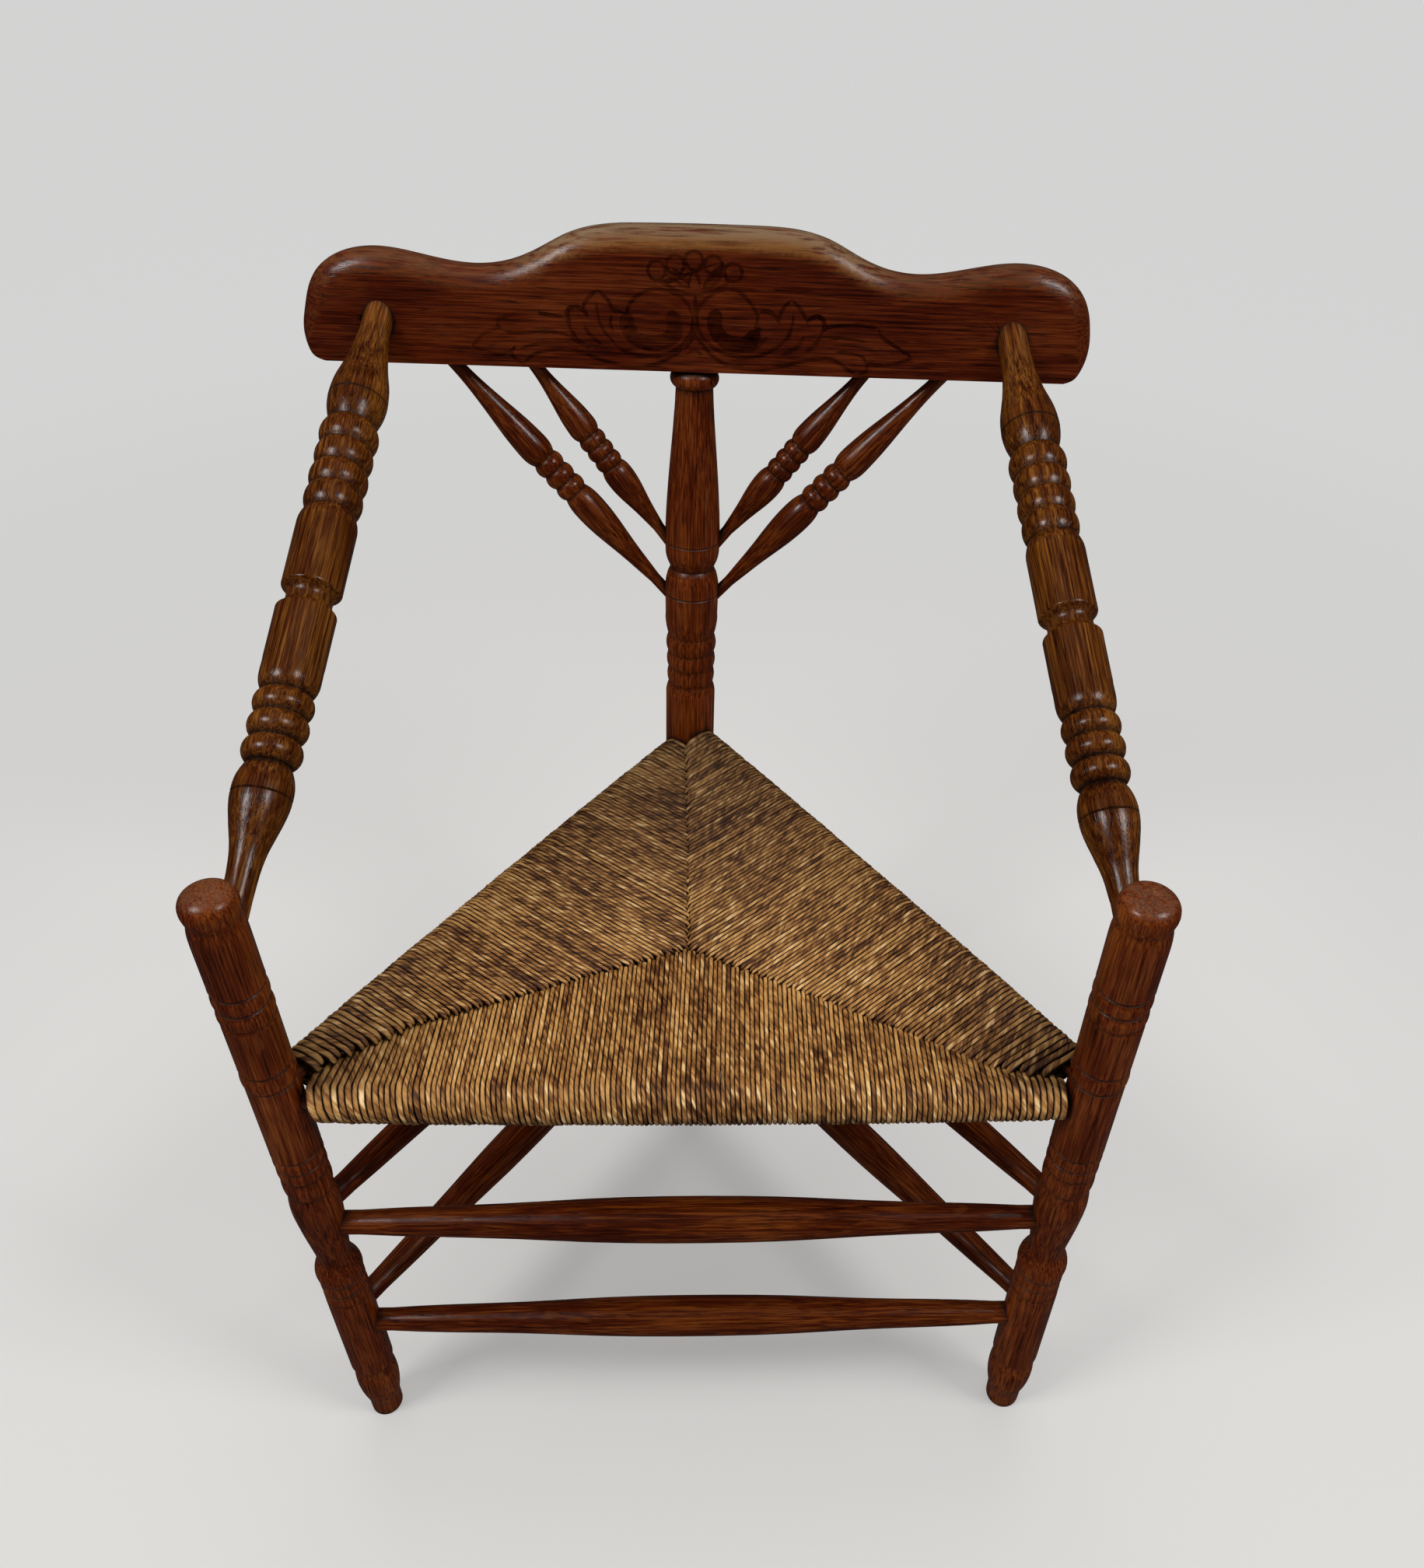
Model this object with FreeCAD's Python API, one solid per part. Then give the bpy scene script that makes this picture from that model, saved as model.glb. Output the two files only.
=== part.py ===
import FreeCAD, Part
import math
import os

# Turned oak corner chair with a triangular rush seat, in millimetres.
# Three turned posts carry two arms, a carved crest rail, four thin spindles,
# six turned stretchers and three seat rails wrapped in rush.
# While it is built, the front posts stand at y = 0 and the back post behind
# them at +y. Left is -x as seen from the front. Heights are counted from a
# base line a little under the floor. Everything is moved at the end so that
# the origin lies on the floor under the middle of the chair.

FLOOR = 9.0

# Ground plan
FRONT_POST_X = 271.0
BACK_POST_FOOT_X = -23.5
BACK_POST_FOOT_Y = 345.5
BACK_RAKE = 0.120
BACK_SIDE_LEAN = 0.0226

# Posts
POST_RADIUS = 18.0
LEFT_POST_GIRTH = 0.945
RIGHT_POST_GIRTH = 1.05
BACK_POST_RADIUS = 21.4
BACK_POST_SHOULDER = 766.0

# Crest rail
CREST_X = -2.0
CREST_Y = 437.0
CREST_FOOT_Z = 763.0
CREST_UNDERSIDE = 5.0
CREST_TOP = 106.0
CREST_SIDE_DROP = 0.0078
CREST_SIDE_RISE = 2.0
LEFT_END_TRIM = 7.0
CREST_HALF_LENGTH = 297.0
CREST_HALF_THICK = 18.0
CREST_SOFT_EDGE = 14.0

# Arms
ARM_POST_X = 269.3
ARM_POST_Y = 8.6
ARM_POST_Z = 594.2
ARM_CREST_X = 234.8
ARM_CREST_HEIGHT = 36.3
ARM_TENON = 16.0
ARM_TENON_RADIUS = 11.0
ARM_LOW_TENON_RADIUS = 9.2
ARM_RADIUS = 20.0
LEFT_ARM_GIRTH = 0.98
RIGHT_ARM_GIRTH = 1.02
RIGHT_ARM_SHIFT = -9.5

# Spindles
OUTER_SPINDLE_X = 189.0
INNER_SPINDLE_X = 128.0
OUTER_SPINDLE_Z = 557.5
INNER_SPINDLE_Z = 600.0
SPINDLE_TENON_RADIUS = 4.6
SPINDLE_TENON = 14.0
SPINDLE_CLEAR_OF_POST = 47.0

# Stretchers
FRONT_UPPER_Z = 294.0
FRONT_LOWER_Z = 151.5
SIDE_UPPER_FRONT_Z = 312.6
SIDE_LOWER_FRONT_Z = 171.3
SIDE_UPPER_BACK_Z = 288.0
SIDE_LOWER_BACK_Z = 159.0
SIDE_STAGGER = 9.0
STRETCHER_END_RADIUS = 8.7

# Seat rails
FRONT_RAIL_Z = 441.5
SIDE_RAIL_FRONT_Z = 453.5
SIDE_RAIL_BACK_Z = 438.5
SIDE_RAIL_STAGGER = 4.5
RAIL_RADIUS = 10.0
RAIL_TENON_RADIUS = 6.2

# Rush seat
RUSH_FRONT_ROLLS = (13.5, 17.0)
RUSH_SIDE_ROLLS = (12.5, 14.8)
RUSH_CENTRE_FORWARD = 6.0
RUSH_CENTRE_Z = 433.5
RUSH_CENTRE_HALF_THICK = 10.0
LEFT_MITRE_BEND = (-193.0, 54.0)
RIGHT_MITRE_BEND = (206.0, 16.0)
PAD_HALF_THICK = 5.0
PAD_INSET = 34.0
POST_GAP = 1.5

# How far a tenon stops inside a post, measured from the post's axis
TENON_STOP = 7.0
SOCKET_PLAY = 0.10
SOCKET_FLOOR = 1.0

UP = FreeCAD.Vector(0, 0, 1)


def point(x, y, z):
    return FreeCAD.Vector(x, y, z)


# Turning

def flat_edge(start, finish):
    """A straight edge of a turned outline, points given as (height, radius)."""
    return Part.makeLine(point(start[1], 0, start[0]), point(finish[1], 0, finish[0]))


def round_edge(start, finish, swell):
    """An arc that stands out from its chord by swell, or is hollow if negative."""
    along = finish[0] - start[0]
    outward = finish[1] - start[1]
    length = math.hypot(along, outward)
    middle_height = (start[0] + finish[0]) / 2 - swell * outward / length
    middle_radius = (start[1] + finish[1]) / 2 + swell * along / length
    arc = Part.Arc(
        point(start[1], 0, start[0]),
        point(middle_radius, 0, middle_height),
        point(finish[1], 0, finish[0]),
    )
    return arc.toShape()


def flowing_edge(stations):
    """One smooth curve through stations given as (height, radius)."""
    curve = Part.BSplineCurve()
    curve.interpolate([point(radius, 0, height) for height, radius in stations])
    return curve.toShape()


def turned(start, steps):
    """A solid of revolution about z that begins at start = (height, radius).

    Each step is ("flat", height, radius), ("round", height, radius, swell)
    or ("flow", [(height, radius), ...]).
    """
    here = start
    edges = [flat_edge((start[0], 0), start)]
    for step in steps:
        if step[0] == "flat":
            there = (step[1], step[2])
            edges.append(flat_edge(here, there))
        elif step[0] == "round":
            there = (step[1], step[2])
            edges.append(round_edge(here, there, step[3]))
        else:
            there = step[1][-1]
            edges.append(flowing_edge([here] + step[1]))
        here = there
    if here[1] > 0:
        edges.append(flat_edge(here, (here[0], 0)))
    edges.append(flat_edge((here[0], 0), (start[0], 0)))
    face = Part.Face(Part.Wire(edges))
    return face.revolve(point(0, 0, 0), UP, 360)


def fatter(steps, girth):
    """The same turning steps with every radius multiplied by girth."""
    result = []
    for step in steps:
        if step[0] == "flow":
            result.append(("flow", [(height, radius * girth) for height, radius in step[1]]))
        elif step[0] == "round":
            result.append(("round", step[1], step[2] * girth, step[3]))
        else:
            result.append(("flat", step[1], step[2] * girth))
    return result


def moved_along(steps, distance):
    """The same turning steps, pushed along the axis."""
    result = []
    for step in steps:
        if step[0] == "flow":
            result.append(("flow", [(height + distance, radius) for height, radius in step[1]]))
        else:
            result.append((step[0], step[1] + distance) + tuple(step[2:]))
    return result


def groove(height, radius, depth=1.0, width=2.0):
    """A V cut; the outline is at radius on both sides of it."""
    return [
        ("flat", height - width / 2, radius),
        ("flat", height, radius - depth),
        ("flat", height + width / 2, radius),
    ]


def beads(first, last, count, radius, swell, width=1.6):
    """A row of equal beads with a V cut after each one."""
    pitch = (last - first) / count
    steps = []
    for number in range(count):
        end = first + pitch * (number + 1)
        steps.append(("round", end - width, radius, swell))
        steps.append(("flat", end - width / 2, radius - 0.9))
        steps.append(("flat", end, radius))
    return steps


def placed(solid, start, finish):
    """Turn a solid made along z so that it runs from start towards finish."""
    result = solid.copy()
    turn = FreeCAD.Rotation(UP, finish - start)
    result.Placement = FreeCAD.Placement(start, turn).multiply(result.Placement)
    return result


def rod(start, finish, radius):
    """A plain round rod between two points."""
    direction = finish - start
    return Part.makeCylinder(radius, direction.Length, start, direction)


# The posts' axes

def back_axis(height):
    """The point of the back post's axis at a given height over the floor."""
    return point(
        BACK_POST_FOOT_X + BACK_SIDE_LEAN * height,
        BACK_POST_FOOT_Y + BACK_RAKE * height,
        height,
    )


def front_axis(side, height):
    """The point of a front post's axis; side is -1 for left, 1 for right."""
    return point(side * FRONT_POST_X, 0, height)


# Posts

def foot_steps():
    """The foot, its hollow, the ringed collar and the vase, up to the seat."""
    steps = [
        ("round", FLOOR + 3.0, 13.3, 0.6),
        ("flow", [
            (18.0, 13.6), (25.0, 13.6), (32.0, 14.3), (40.0, 15.8),
            (48.0, 17.0), (58.0, 17.8), (67.0, 17.8), (75.0, 17.2),
        ]),
        ("round", 89.5, 17.2, -1.6),
        ("round", 92.5, POST_RADIUS, 0.3),
        ("flat", 196.5, 17.9),
        ("flat", 198.0, 17.0),
        ("flat", 199.5, 17.4),
    ]
    steps += beads(199.5, 226.5, 2, 17.2, 0.5)
    steps += [
        ("flow", [
            (231.0, 18.2), (236.0, 18.4), (241.5, 17.5),
            (246.5, 15.6), (250.5, 13.7), (255.0, 13.1),
        ]),
        ("flow", [
            (263.0, 13.6), (275.0, 14.8), (290.0, 16.3), (305.0, 17.5),
            (318.0, 18.3), (328.0, 18.2), (335.0, 17.5), (341.5, 16.6),
        ]),
        ("flat", 342.5, 15.9),
        ("flat", 344.0, 16.9),
        ("round", 362.0, 17.3, 0.9),
        ("flat", 363.5, 16.4),
        ("flat", 365.0, 17.3),
    ]
    steps += beads(365.0, 391.0, 2, 17.4, 0.7)
    return steps


def front_post(side, girth):
    """A front post with its foot, collars and mushroom knob."""
    steps = foot_steps()
    steps += [("round", 393.0, POST_RADIUS, 0.3)]
    steps += groove(467.0, 17.9, 1.0, 2.4)
    steps += [("round", 481.0, 17.7, 0.8)]
    steps += groove(482.5, 17.7, 1.0, 2.4)
    steps += [("round", 486.0, 18.0, 0.2)]
    steps += [("flat", 526.0, 18.0)]
    steps += [("flat", 528.0, 16.9), ("flat", 529.5, 17.4)]
    steps += beads(529.5, 557.5, 2, 17.3, 1.1)
    steps += [
        ("round", 561.0, 18.0, 0.4),
        ("flat", 597.0, 18.0),
        ("flow", [(604.0, 17.8), (609.5, 17.2), (613.5, 16.2)]),
        ("flow", [(616.5, 16.9), (620.5, 17.8), (625.0, 18.0), (630.3, 16.0), (633.8, 10.5), (635.5, 0.0)]),
    ]
    post = turned((FLOOR, 12.2 * girth), fatter(steps, girth))
    return placed(post, front_axis(side, 0), front_axis(side, 10))


def back_post():
    """The back post, from its foot to the tenon inside the crest rail."""
    low = fatter(foot_steps(), BACK_POST_RADIUS / POST_RADIUS)
    stretch = 1.0075
    steps = list(low)
    steps += [
        ("round", 394.0, BACK_POST_RADIUS, 0.3),
        ("flat", 488.0 * stretch, BACK_POST_RADIUS),
        ("flow", [(492.5 * stretch, 20.5), (496.5 * stretch, 18.9)]),
        ("round", 511.5 * stretch, 19.2, 1.4),
        ("round", 526.5 * stretch, 19.4, 1.6),
        ("round", 542.5 * stretch, 19.6, 1.9),
        ("flow", [(547.0 * stretch, 20.7), (553.0 * stretch, 21.8), (562.0 * stretch, 22.0)]),
    ]
    steps += groove(581.0 * stretch, 22.3, 0.8, 1.8)
    steps += [
        ("flow", [
            (590.0 * stretch, 22.2), (596.0 * stretch, 21.2),
            (601.0 * stretch, 19.6), (604.0 * stretch, 17.7),
        ]),
        ("flow", [(608.0 * stretch, 19.5), (613.0 * stretch, 21.3), (619.0 * stretch, 22.2)]),
    ]
    steps += groove(627.0 * stretch, 22.3, 0.8, 1.8)
    steps += [
        ("flow", [
            (642.0 * stretch, 22.2), (662.0 * stretch, 21.2), (686.0 * stretch, 19.5),
            (714.0 * stretch, 17.1), (738.0 * stretch, 15.3), (752.5 * stretch, 14.5),
        ]),
        ("round", BACK_POST_SHOULDER * stretch, 15.0, 4.2),
        ("flat", BACK_POST_SHOULDER * stretch, 12.0),
        ("flat", BACK_POST_SHOULDER * stretch + 48.0, 12.0),
    ]
    post = turned((FLOOR - 3.0, 14.5), [("flat", FLOOR, 14.8)] + steps)
    post = placed(post, back_axis(0), back_axis(100))
    # the sole is cut level with the floor
    foot = point(BACK_POST_FOOT_X - 100, BACK_POST_FOOT_Y - 100, FLOOR - 60)
    return post.cut(Part.makeBox(200, 200, 60, foot))


# Crest rail

CREST_UPRIGHT = point(0, BACK_RAKE, 1)
CREST_UPRIGHT.normalize()
CREST_BACKWARD = point(0, 1, -BACK_RAKE)
CREST_BACKWARD.normalize()


def on_crest(along, height, depth=0.0):
    """A point of the crest: along x, up its leaning face, and backwards."""
    origin = point(CREST_X + along, CREST_Y, CREST_FOOT_Z)
    level = height - CREST_SIDE_DROP * along
    return origin + CREST_UPRIGHT * level + CREST_BACKWARD * depth


def crest_outline(side):
    """Half of the crest's outline, from its lower corner to the middle.

    It is sawn by hand: the left end is shorter and its top a little lower.
    """
    outline = [
        (278.0, CREST_UNDERSIDE),
        (290.0, 9.5),
        (CREST_HALF_LENGTH, 26.0),
        (296.0, 42.0),
        (291.5, 58.0),
        (281.0, 72.0),
        (264.0, 81.0),
        (238.0, 84.8),
        (205.0, 80.5),
        (166.0, 75.0),
        (138.0, 78.5),
        (116.0, 87.5),
        (96.0, 97.5),
        (74.0, 103.5),
        (38.0, CREST_TOP - 0.3),
    ]
    result = []
    for along, height in outline:
        share = min(1.0, along / 200.0) * min(1.0, (height - CREST_UNDERSIDE) / 60.0)
        trim = 0.0
        if side < 0 and along > 180.0:
            trim = LEFT_END_TRIM * min(1.0, height / 50.0) * (along - 180.0) / (CREST_HALF_LENGTH - 180.0)
        result.append((along - trim, height + side * CREST_SIDE_RISE * share))
    return result


def pulled_in(along, height, inset):
    """An outline point moved towards the crest's middle line by the inset."""
    keel = min(along, CREST_HALF_LENGTH - 40.0)
    across = along - keel
    upward = height - 44.0 if across > 0 else max(height - 44.0, 1.0)
    length = math.hypot(across, upward)
    share = min(1.0, max(0.0, (height - CREST_UNDERSIDE) / 24.0))
    pull = inset * share / length
    return along - across * pull, height - upward * pull


def crest_section(depth, inset):
    """The crest's outline at one depth, pulled in at the top and ends."""
    right = [pulled_in(along, height, inset) for along, height in crest_outline(1)]
    left = [pulled_in(along, height, inset) for along, height in crest_outline(-1)]
    left = [(-along, height) for along, height in left]
    stations = left + [(0.0, CREST_TOP - inset)] + list(reversed(right))
    curve = Part.BSplineCurve()
    curve.interpolate([on_crest(along, height, depth) for along, height in stations])
    closing = Part.makeLine(
        on_crest(stations[-1][0], stations[-1][1], depth),
        on_crest(stations[0][0], stations[0][1], depth),
    )
    return Part.Wire([curve.toShape(), closing])


def crest_rail():
    """A sawn plank with its top and ends worked soft, flat underneath."""
    sections = []
    straight = CREST_HALF_THICK - CREST_SOFT_EDGE
    for degrees in (-90, -66, -42, -20, 0, 20, 42, 66, 90):
        sine = math.sin(math.radians(degrees))
        depth = math.copysign(straight, degrees) + CREST_SOFT_EDGE * sine if degrees else 0.0
        inset = CREST_SOFT_EDGE * 1.35 * (1 - math.cos(math.radians(degrees)))
        sections.append(crest_section(depth, inset))
    return Part.makeLoft(sections, True, False)


# Arms

def arm_ends(side):
    """Where an arm's axis meets the post's middle and the crest's front face."""
    low = point(side * ARM_POST_X, ARM_POST_Y, ARM_POST_Z)
    high = on_crest(side * ARM_CREST_X, ARM_CREST_HEIGHT, -CREST_HALF_THICK)
    return low, high


def arm(side, girth, shift):
    """A turned arm: long taper, bulb, beads, two drums and a bulb at the crest."""
    low, high = arm_ends(side)
    length = (high - low).Length
    steps = [
        ("round", 122.2, 15.8, 4.0),
        ("flat", 123.0, 15.2),
        ("flat", 123.8, 15.8),
        ("round", 138.8, 16.6, 3.0),
        ("flat", 139.6, 16.1),
        ("flat", 140.4, 16.6),
        ("round", 154.8, 16.4, 2.8),
        ("flat", 155.6, 15.9),
        ("flow", [(159.0, 18.0), (163.0, 19.2), (169.0, 19.6), (179.0, 19.7)]),
        ("flat", 214.5, 19.9),
        ("round", 216.8, 19.0, 0.3),
        ("round", 231.8, 19.0, -3.8),
        ("round", 234.0, ARM_RADIUS, 0.3),
        ("flat", 282.0, 20.2),
        ("flow", [(286.5, 19.6), (290.5, 18.3), (293.5, 17.0)]),
        ("round", 311.4, 17.9, 2.3),
        ("flat", 312.2, 17.5),
        ("flat", 313.0, 17.9),
        ("round", 329.4, 17.8, 2.2),
        ("flat", 330.2, 17.4),
        ("flat", 331.0, 17.8),
        ("round", 347.4, 17.9, 2.2),
        ("flat", 348.2, 17.5),
        ("flat", 349.0, 17.9),
        ("round", 367.7, 16.8, 3.1),
        ("flat", 368.5, 16.2),
        ("flow", [(373.0, 17.9), (378.0, 19.4), (383.0, 20.3), (388.0, 20.7)]),
    ]
    steps = moved_along(steps + groove(389.0, 20.8, 0.8, 1.8), shift)
    taper = [
        ("flat", 20.0, ARM_LOW_TENON_RADIUS),
        ("flow", [
            (33.0 + shift, 9.6), (43.0 + shift, 10.4), (51.0 + shift, 11.7), (60.0 + shift, 14.0),
            (69.0 + shift, 16.3), (77.0 + shift, 18.0), (83.6 + shift, 18.7),
        ]),
        ("flat", 84.5 + shift, 18.0),
        ("flat", 85.4 + shift, 18.8),
        ("flow", [(89.0 + shift, 18.8), (94.0 + shift, 18.3), (100.0 + shift, 16.6), (105.5 + shift, 14.0)]),
    ]
    neck = [
        ("flow", [
            (397.0 + shift, 20.4), (405.5 + shift, 19.2), (413.0 + shift, 17.4), (421.0 + shift, 15.5),
            (432.0 + shift, 13.5), (442.0 + shift, 12.2), (length - 11.0, ARM_TENON_RADIUS),
        ]),
        ("flat", length + ARM_TENON, ARM_TENON_RADIUS),
    ]
    steps = taper + steps + neck
    shape = turned((-7.0, ARM_LOW_TENON_RADIUS * girth), fatter(steps, girth))
    return placed(shape, low, high)


# Spindles

def spindle_ends(side, along, height):
    """A spindle runs from the back post's axis to the crest's underside."""
    return back_axis(height), on_crest(side * along, CREST_UNDERSIDE)


def spindle(side, along, height, lower_swell, upper_swell, first_bead, last_bead, bead_swell):
    """A thin spindle: two tear-drop swellings with three beads between them."""
    low, high = spindle_ends(side, along, height)
    length = (high - low).Length
    slim = SPINDLE_TENON_RADIUS
    clear = SPINDLE_CLEAR_OF_POST
    lower = (
        (0.17, 0.20), (0.35, 0.43), (0.52, 0.71), (0.68, 0.93), (0.82, 1.00), (0.93, 0.91), (1.00, 0.66),
    )
    upper = (
        (0.06, 0.96), (0.16, 1.00), (0.30, 0.87), (0.46, 0.62), (0.63, 0.34), (0.80, 0.13), (0.96, 0.06),
    )
    waist = slim + 0.66 * (lower_swell - slim)
    steps = [
        ("flat", clear, slim),
        ("flow", [
            (clear + share * (first_bead - clear), slim + fullness * (lower_swell - slim))
            for share, fullness in lower
        ]),
    ]
    pitch = (last_bead - first_bead) / 3
    for number in range(3):
        end = first_bead + pitch * (number + 1)
        steps.append(("round", end - 0.8, waist + 0.2, bead_swell))
        steps.append(("flat", end, waist))
    steps += [
        ("flow", [
            (last_bead + share * (length - last_bead), slim + fullness * (upper_swell - slim))
            for share, fullness in upper
        ]),
        ("flat", length + SPINDLE_TENON, 5.0),
    ]
    start = (16.0, SPINDLE_TENON_RADIUS)
    return placed(turned(start, steps), low, high)


# Stretchers

def stretcher(start, finish, start_gap, finish_gap, middle_radius):
    """A turned stretcher, thickest in the middle, between two posts' axes.

    The gaps say how far each end stops from the axis it points at.
    """
    length = (finish - start).Length
    steps = [
        ("flat", 27.0, STRETCHER_END_RADIUS),
        ("flow", [
            (50.0, 9.8),
            (0.24 * length, 8.6 + 0.46 * (middle_radius - 8.6)),
            (0.37 * length, 8.6 + 0.86 * (middle_radius - 8.6)),
            (0.50 * length, middle_radius),
            (0.63 * length, 8.6 + 0.86 * (middle_radius - 8.6)),
            (0.76 * length, 8.6 + 0.46 * (middle_radius - 8.6)),
            (length - 50.0, 9.8),
            (length - 27.0, STRETCHER_END_RADIUS),
        ]),
        ("flat", length - finish_gap, STRETCHER_END_RADIUS),
    ]
    return placed(turned((start_gap, STRETCHER_END_RADIUS), steps), start, finish)


def front_stretcher(height, middle_radius):
    return stretcher(front_axis(-1, height), front_axis(1, height), TENON_STOP, TENON_STOP, middle_radius)


def side_stretcher(side, front_height, back_height, middle_radius):
    start = front_axis(side, front_height)
    finish = back_axis(back_height - side * SIDE_STAGGER)
    return stretcher(start, finish, TENON_STOP, TENON_STOP, middle_radius)


# Seat rails

def rail_ends(name):
    """The axis points a seat rail runs between."""
    if name == "front":
        return front_axis(-1, FRONT_RAIL_Z), front_axis(1, FRONT_RAIL_Z)
    if name == "left":
        return back_axis(SIDE_RAIL_BACK_Z - SIDE_RAIL_STAGGER), front_axis(-1, SIDE_RAIL_FRONT_Z)
    return front_axis(1, SIDE_RAIL_FRONT_Z), back_axis(SIDE_RAIL_BACK_Z + SIDE_RAIL_STAGGER)


def seat_rail(name):
    """A plain round rail with a thinner tenon at each end."""
    start, finish = rail_ends(name)
    length = (finish - start).Length
    steps = [
        ("flat", 26.0, RAIL_TENON_RADIUS),
        ("flow", [(34.0, 8.8), (44.0, RAIL_RADIUS)]),
        ("flat", length - 44.0, RAIL_RADIUS),
        ("flow", [(length - 34.0, 8.8), (length - 26.0, RAIL_TENON_RADIUS)]),
        ("flat", length - TENON_STOP, RAIL_TENON_RADIUS),
    ]
    return placed(turned((TENON_STOP, RAIL_TENON_RADIUS), steps), start, finish)


# Rush seat

def flattened(where):
    return point(where.x, where.y, 0)


def seat_centre():
    """Where the three mitres of the rush meet, near the triangle's incentre."""
    left = flattened(front_axis(-1, 0))
    right = flattened(front_axis(1, 0))
    back = flattened(back_axis(SIDE_RAIL_BACK_Z))
    across = (right - left).Length
    left_side = (back - left).Length
    right_side = (back - right).Length
    total = across + left_side + right_side
    incentre = (back * across + right * left_side + left * right_side) * (1 / total)
    return incentre - point(0, RUSH_CENTRE_FORWARD, 0)


def roll_section(start, finish, share, roll):
    """The rush's outline across one rail: a roll that thins towards the centre."""
    axis = finish - start
    axis.normalize()
    inward = UP.cross(axis)
    inward.normalize()
    foot = start + (finish - start) * share
    reach = (seat_centre() - flattened(foot)).dot(inward) + 2.0
    top = RUSH_CENTRE_Z + RUSH_CENTRE_HALF_THICK - foot.z
    low = RUSH_CENTRE_Z - RUSH_CENTRE_HALF_THICK - foot.z

    def at(inner, height):
        return foot + inward * inner + UP * height

    over = Part.BSplineCurve()
    over.interpolate([at(0, roll), at(0.35 * reach, 0.55 * roll + 0.45 * top + 1.0), at(reach, top)])
    under = Part.BSplineCurve()
    under.interpolate([at(reach, low), at(0.35 * reach, -0.55 * roll + 0.45 * low - 1.0), at(0, -roll)])
    nose = Part.Arc(at(0, -roll), at(-roll, 0), at(0, roll))
    inner = Part.makeLine(at(reach, top), at(reach, low))
    return Part.Wire([over.toShape(), inner, under.toShape(), nose.toShape()])


def mitre_lines():
    """The mitre seams from the centre: a bend, the post, a point past the post."""
    centre = seat_centre()
    lines = {}
    for name, post, bend in (
        ("left", front_axis(-1, 0), LEFT_MITRE_BEND),
        ("right", front_axis(1, 0), RIGHT_MITRE_BEND),
        ("back", flattened(back_axis(SIDE_RAIL_BACK_Z)), None),
    ):
        beyond = post + (post - centre) * 0.35
        lines[name] = [post, beyond] if bend is None else [point(bend[0], bend[1], 0), post, beyond]
    return lines


def mitre_prism(name):
    """An upright prism over one third of the seat, out past its rail."""
    lines = mitre_lines()
    first, second = {"front": ("left", "right"), "left": ("back", "left"), "right": ("right", "back")}[name]
    centre = seat_centre()
    outline = Part.makePolygon([centre] + lines[second] + list(reversed(lines[first])) + [centre])
    prism = Part.Face(outline).extrude(point(0, 0, 120))
    prism.translate(point(0, 0, 390))
    return prism


def seat_pad():
    """The dry stuffing packed between the rush's upper and lower layers."""
    centre = seat_centre()
    corners = []
    for corner in (front_axis(-1, 0), front_axis(1, 0), flattened(back_axis(SIDE_RAIL_BACK_Z))):
        spoke = corner - centre
        corners.append(centre + spoke * (1 - 2.0 * PAD_INSET / spoke.Length))
    outline = Part.makePolygon(corners + [corners[0]])
    pad = Part.Face(outline).extrude(point(0, 0, 2 * PAD_HALF_THICK))
    pad.translate(point(0, 0, RUSH_CENTRE_Z - PAD_HALF_THICK))
    return pad.makeFillet(4.0, pad.Edges)


def rush_panel(name, posts, rails, pad):
    """One third of the woven seat, wrapped over its rail, as a plain solid."""
    start, finish = rail_ends(name)
    end_roll, middle_roll = RUSH_FRONT_ROLLS if name == "front" else RUSH_SIDE_ROLLS
    sections = []
    for share in (-0.02, 0.15, 0.50, 0.85, 1.02):
        belly = math.sin(math.pi * min(1.0, max(0.0, share))) ** 0.6
        roll = end_roll + (middle_roll - end_roll) * belly
        sections.append(roll_section(start, finish, share, roll))
    blank = Part.makeLoft(sections, True, False)
    panel = blank.common(mitre_prism(name))
    for other in rails:
        panel = panel.cut(other)
    for low, high, radius in posts:
        panel = panel.cut(rod(low, high, radius + POST_GAP))
    return panel.cut(pad).Solids[0]


# Sockets

def socket(start, finish, radius, from_start, to_start):
    """The blind hole a member's end needs, measured along its own axis."""
    axis = finish - start
    axis.normalize()
    return rod(start + axis * from_start, start + axis * to_start, radius + SOCKET_PLAY)


def sockets_in_posts():
    """All blind holes in the three posts, as one list for each post."""
    left, right, back = [], [], []
    stop = TENON_STOP - SOCKET_FLOOR
    members = [
        (front_axis(-1, FRONT_UPPER_Z), front_axis(1, FRONT_UPPER_Z), STRETCHER_END_RADIUS, left, right),
        (front_axis(-1, FRONT_LOWER_Z), front_axis(1, FRONT_LOWER_Z), STRETCHER_END_RADIUS, left, right),
    ]
    for side, own in ((-1, left), (1, right)):
        for front_height, back_height in (
            (SIDE_UPPER_FRONT_Z, SIDE_UPPER_BACK_Z),
            (SIDE_LOWER_FRONT_Z, SIDE_LOWER_BACK_Z),
        ):
            start = front_axis(side, front_height)
            finish = back_axis(back_height - side * SIDE_STAGGER)
            members.append((start, finish, STRETCHER_END_RADIUS, own, back))
    for name, first, second in (("front", left, right), ("left", back, left), ("right", right, back)):
        start, finish = rail_ends(name)
        members.append((start, finish, RAIL_TENON_RADIUS, first, second))
    for start, finish, radius, first, second in members:
        first.append(socket(start, finish, radius, stop, 30.0))
        second.append(socket(finish, start, radius, stop, 30.0))
    return left, right, back


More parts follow.
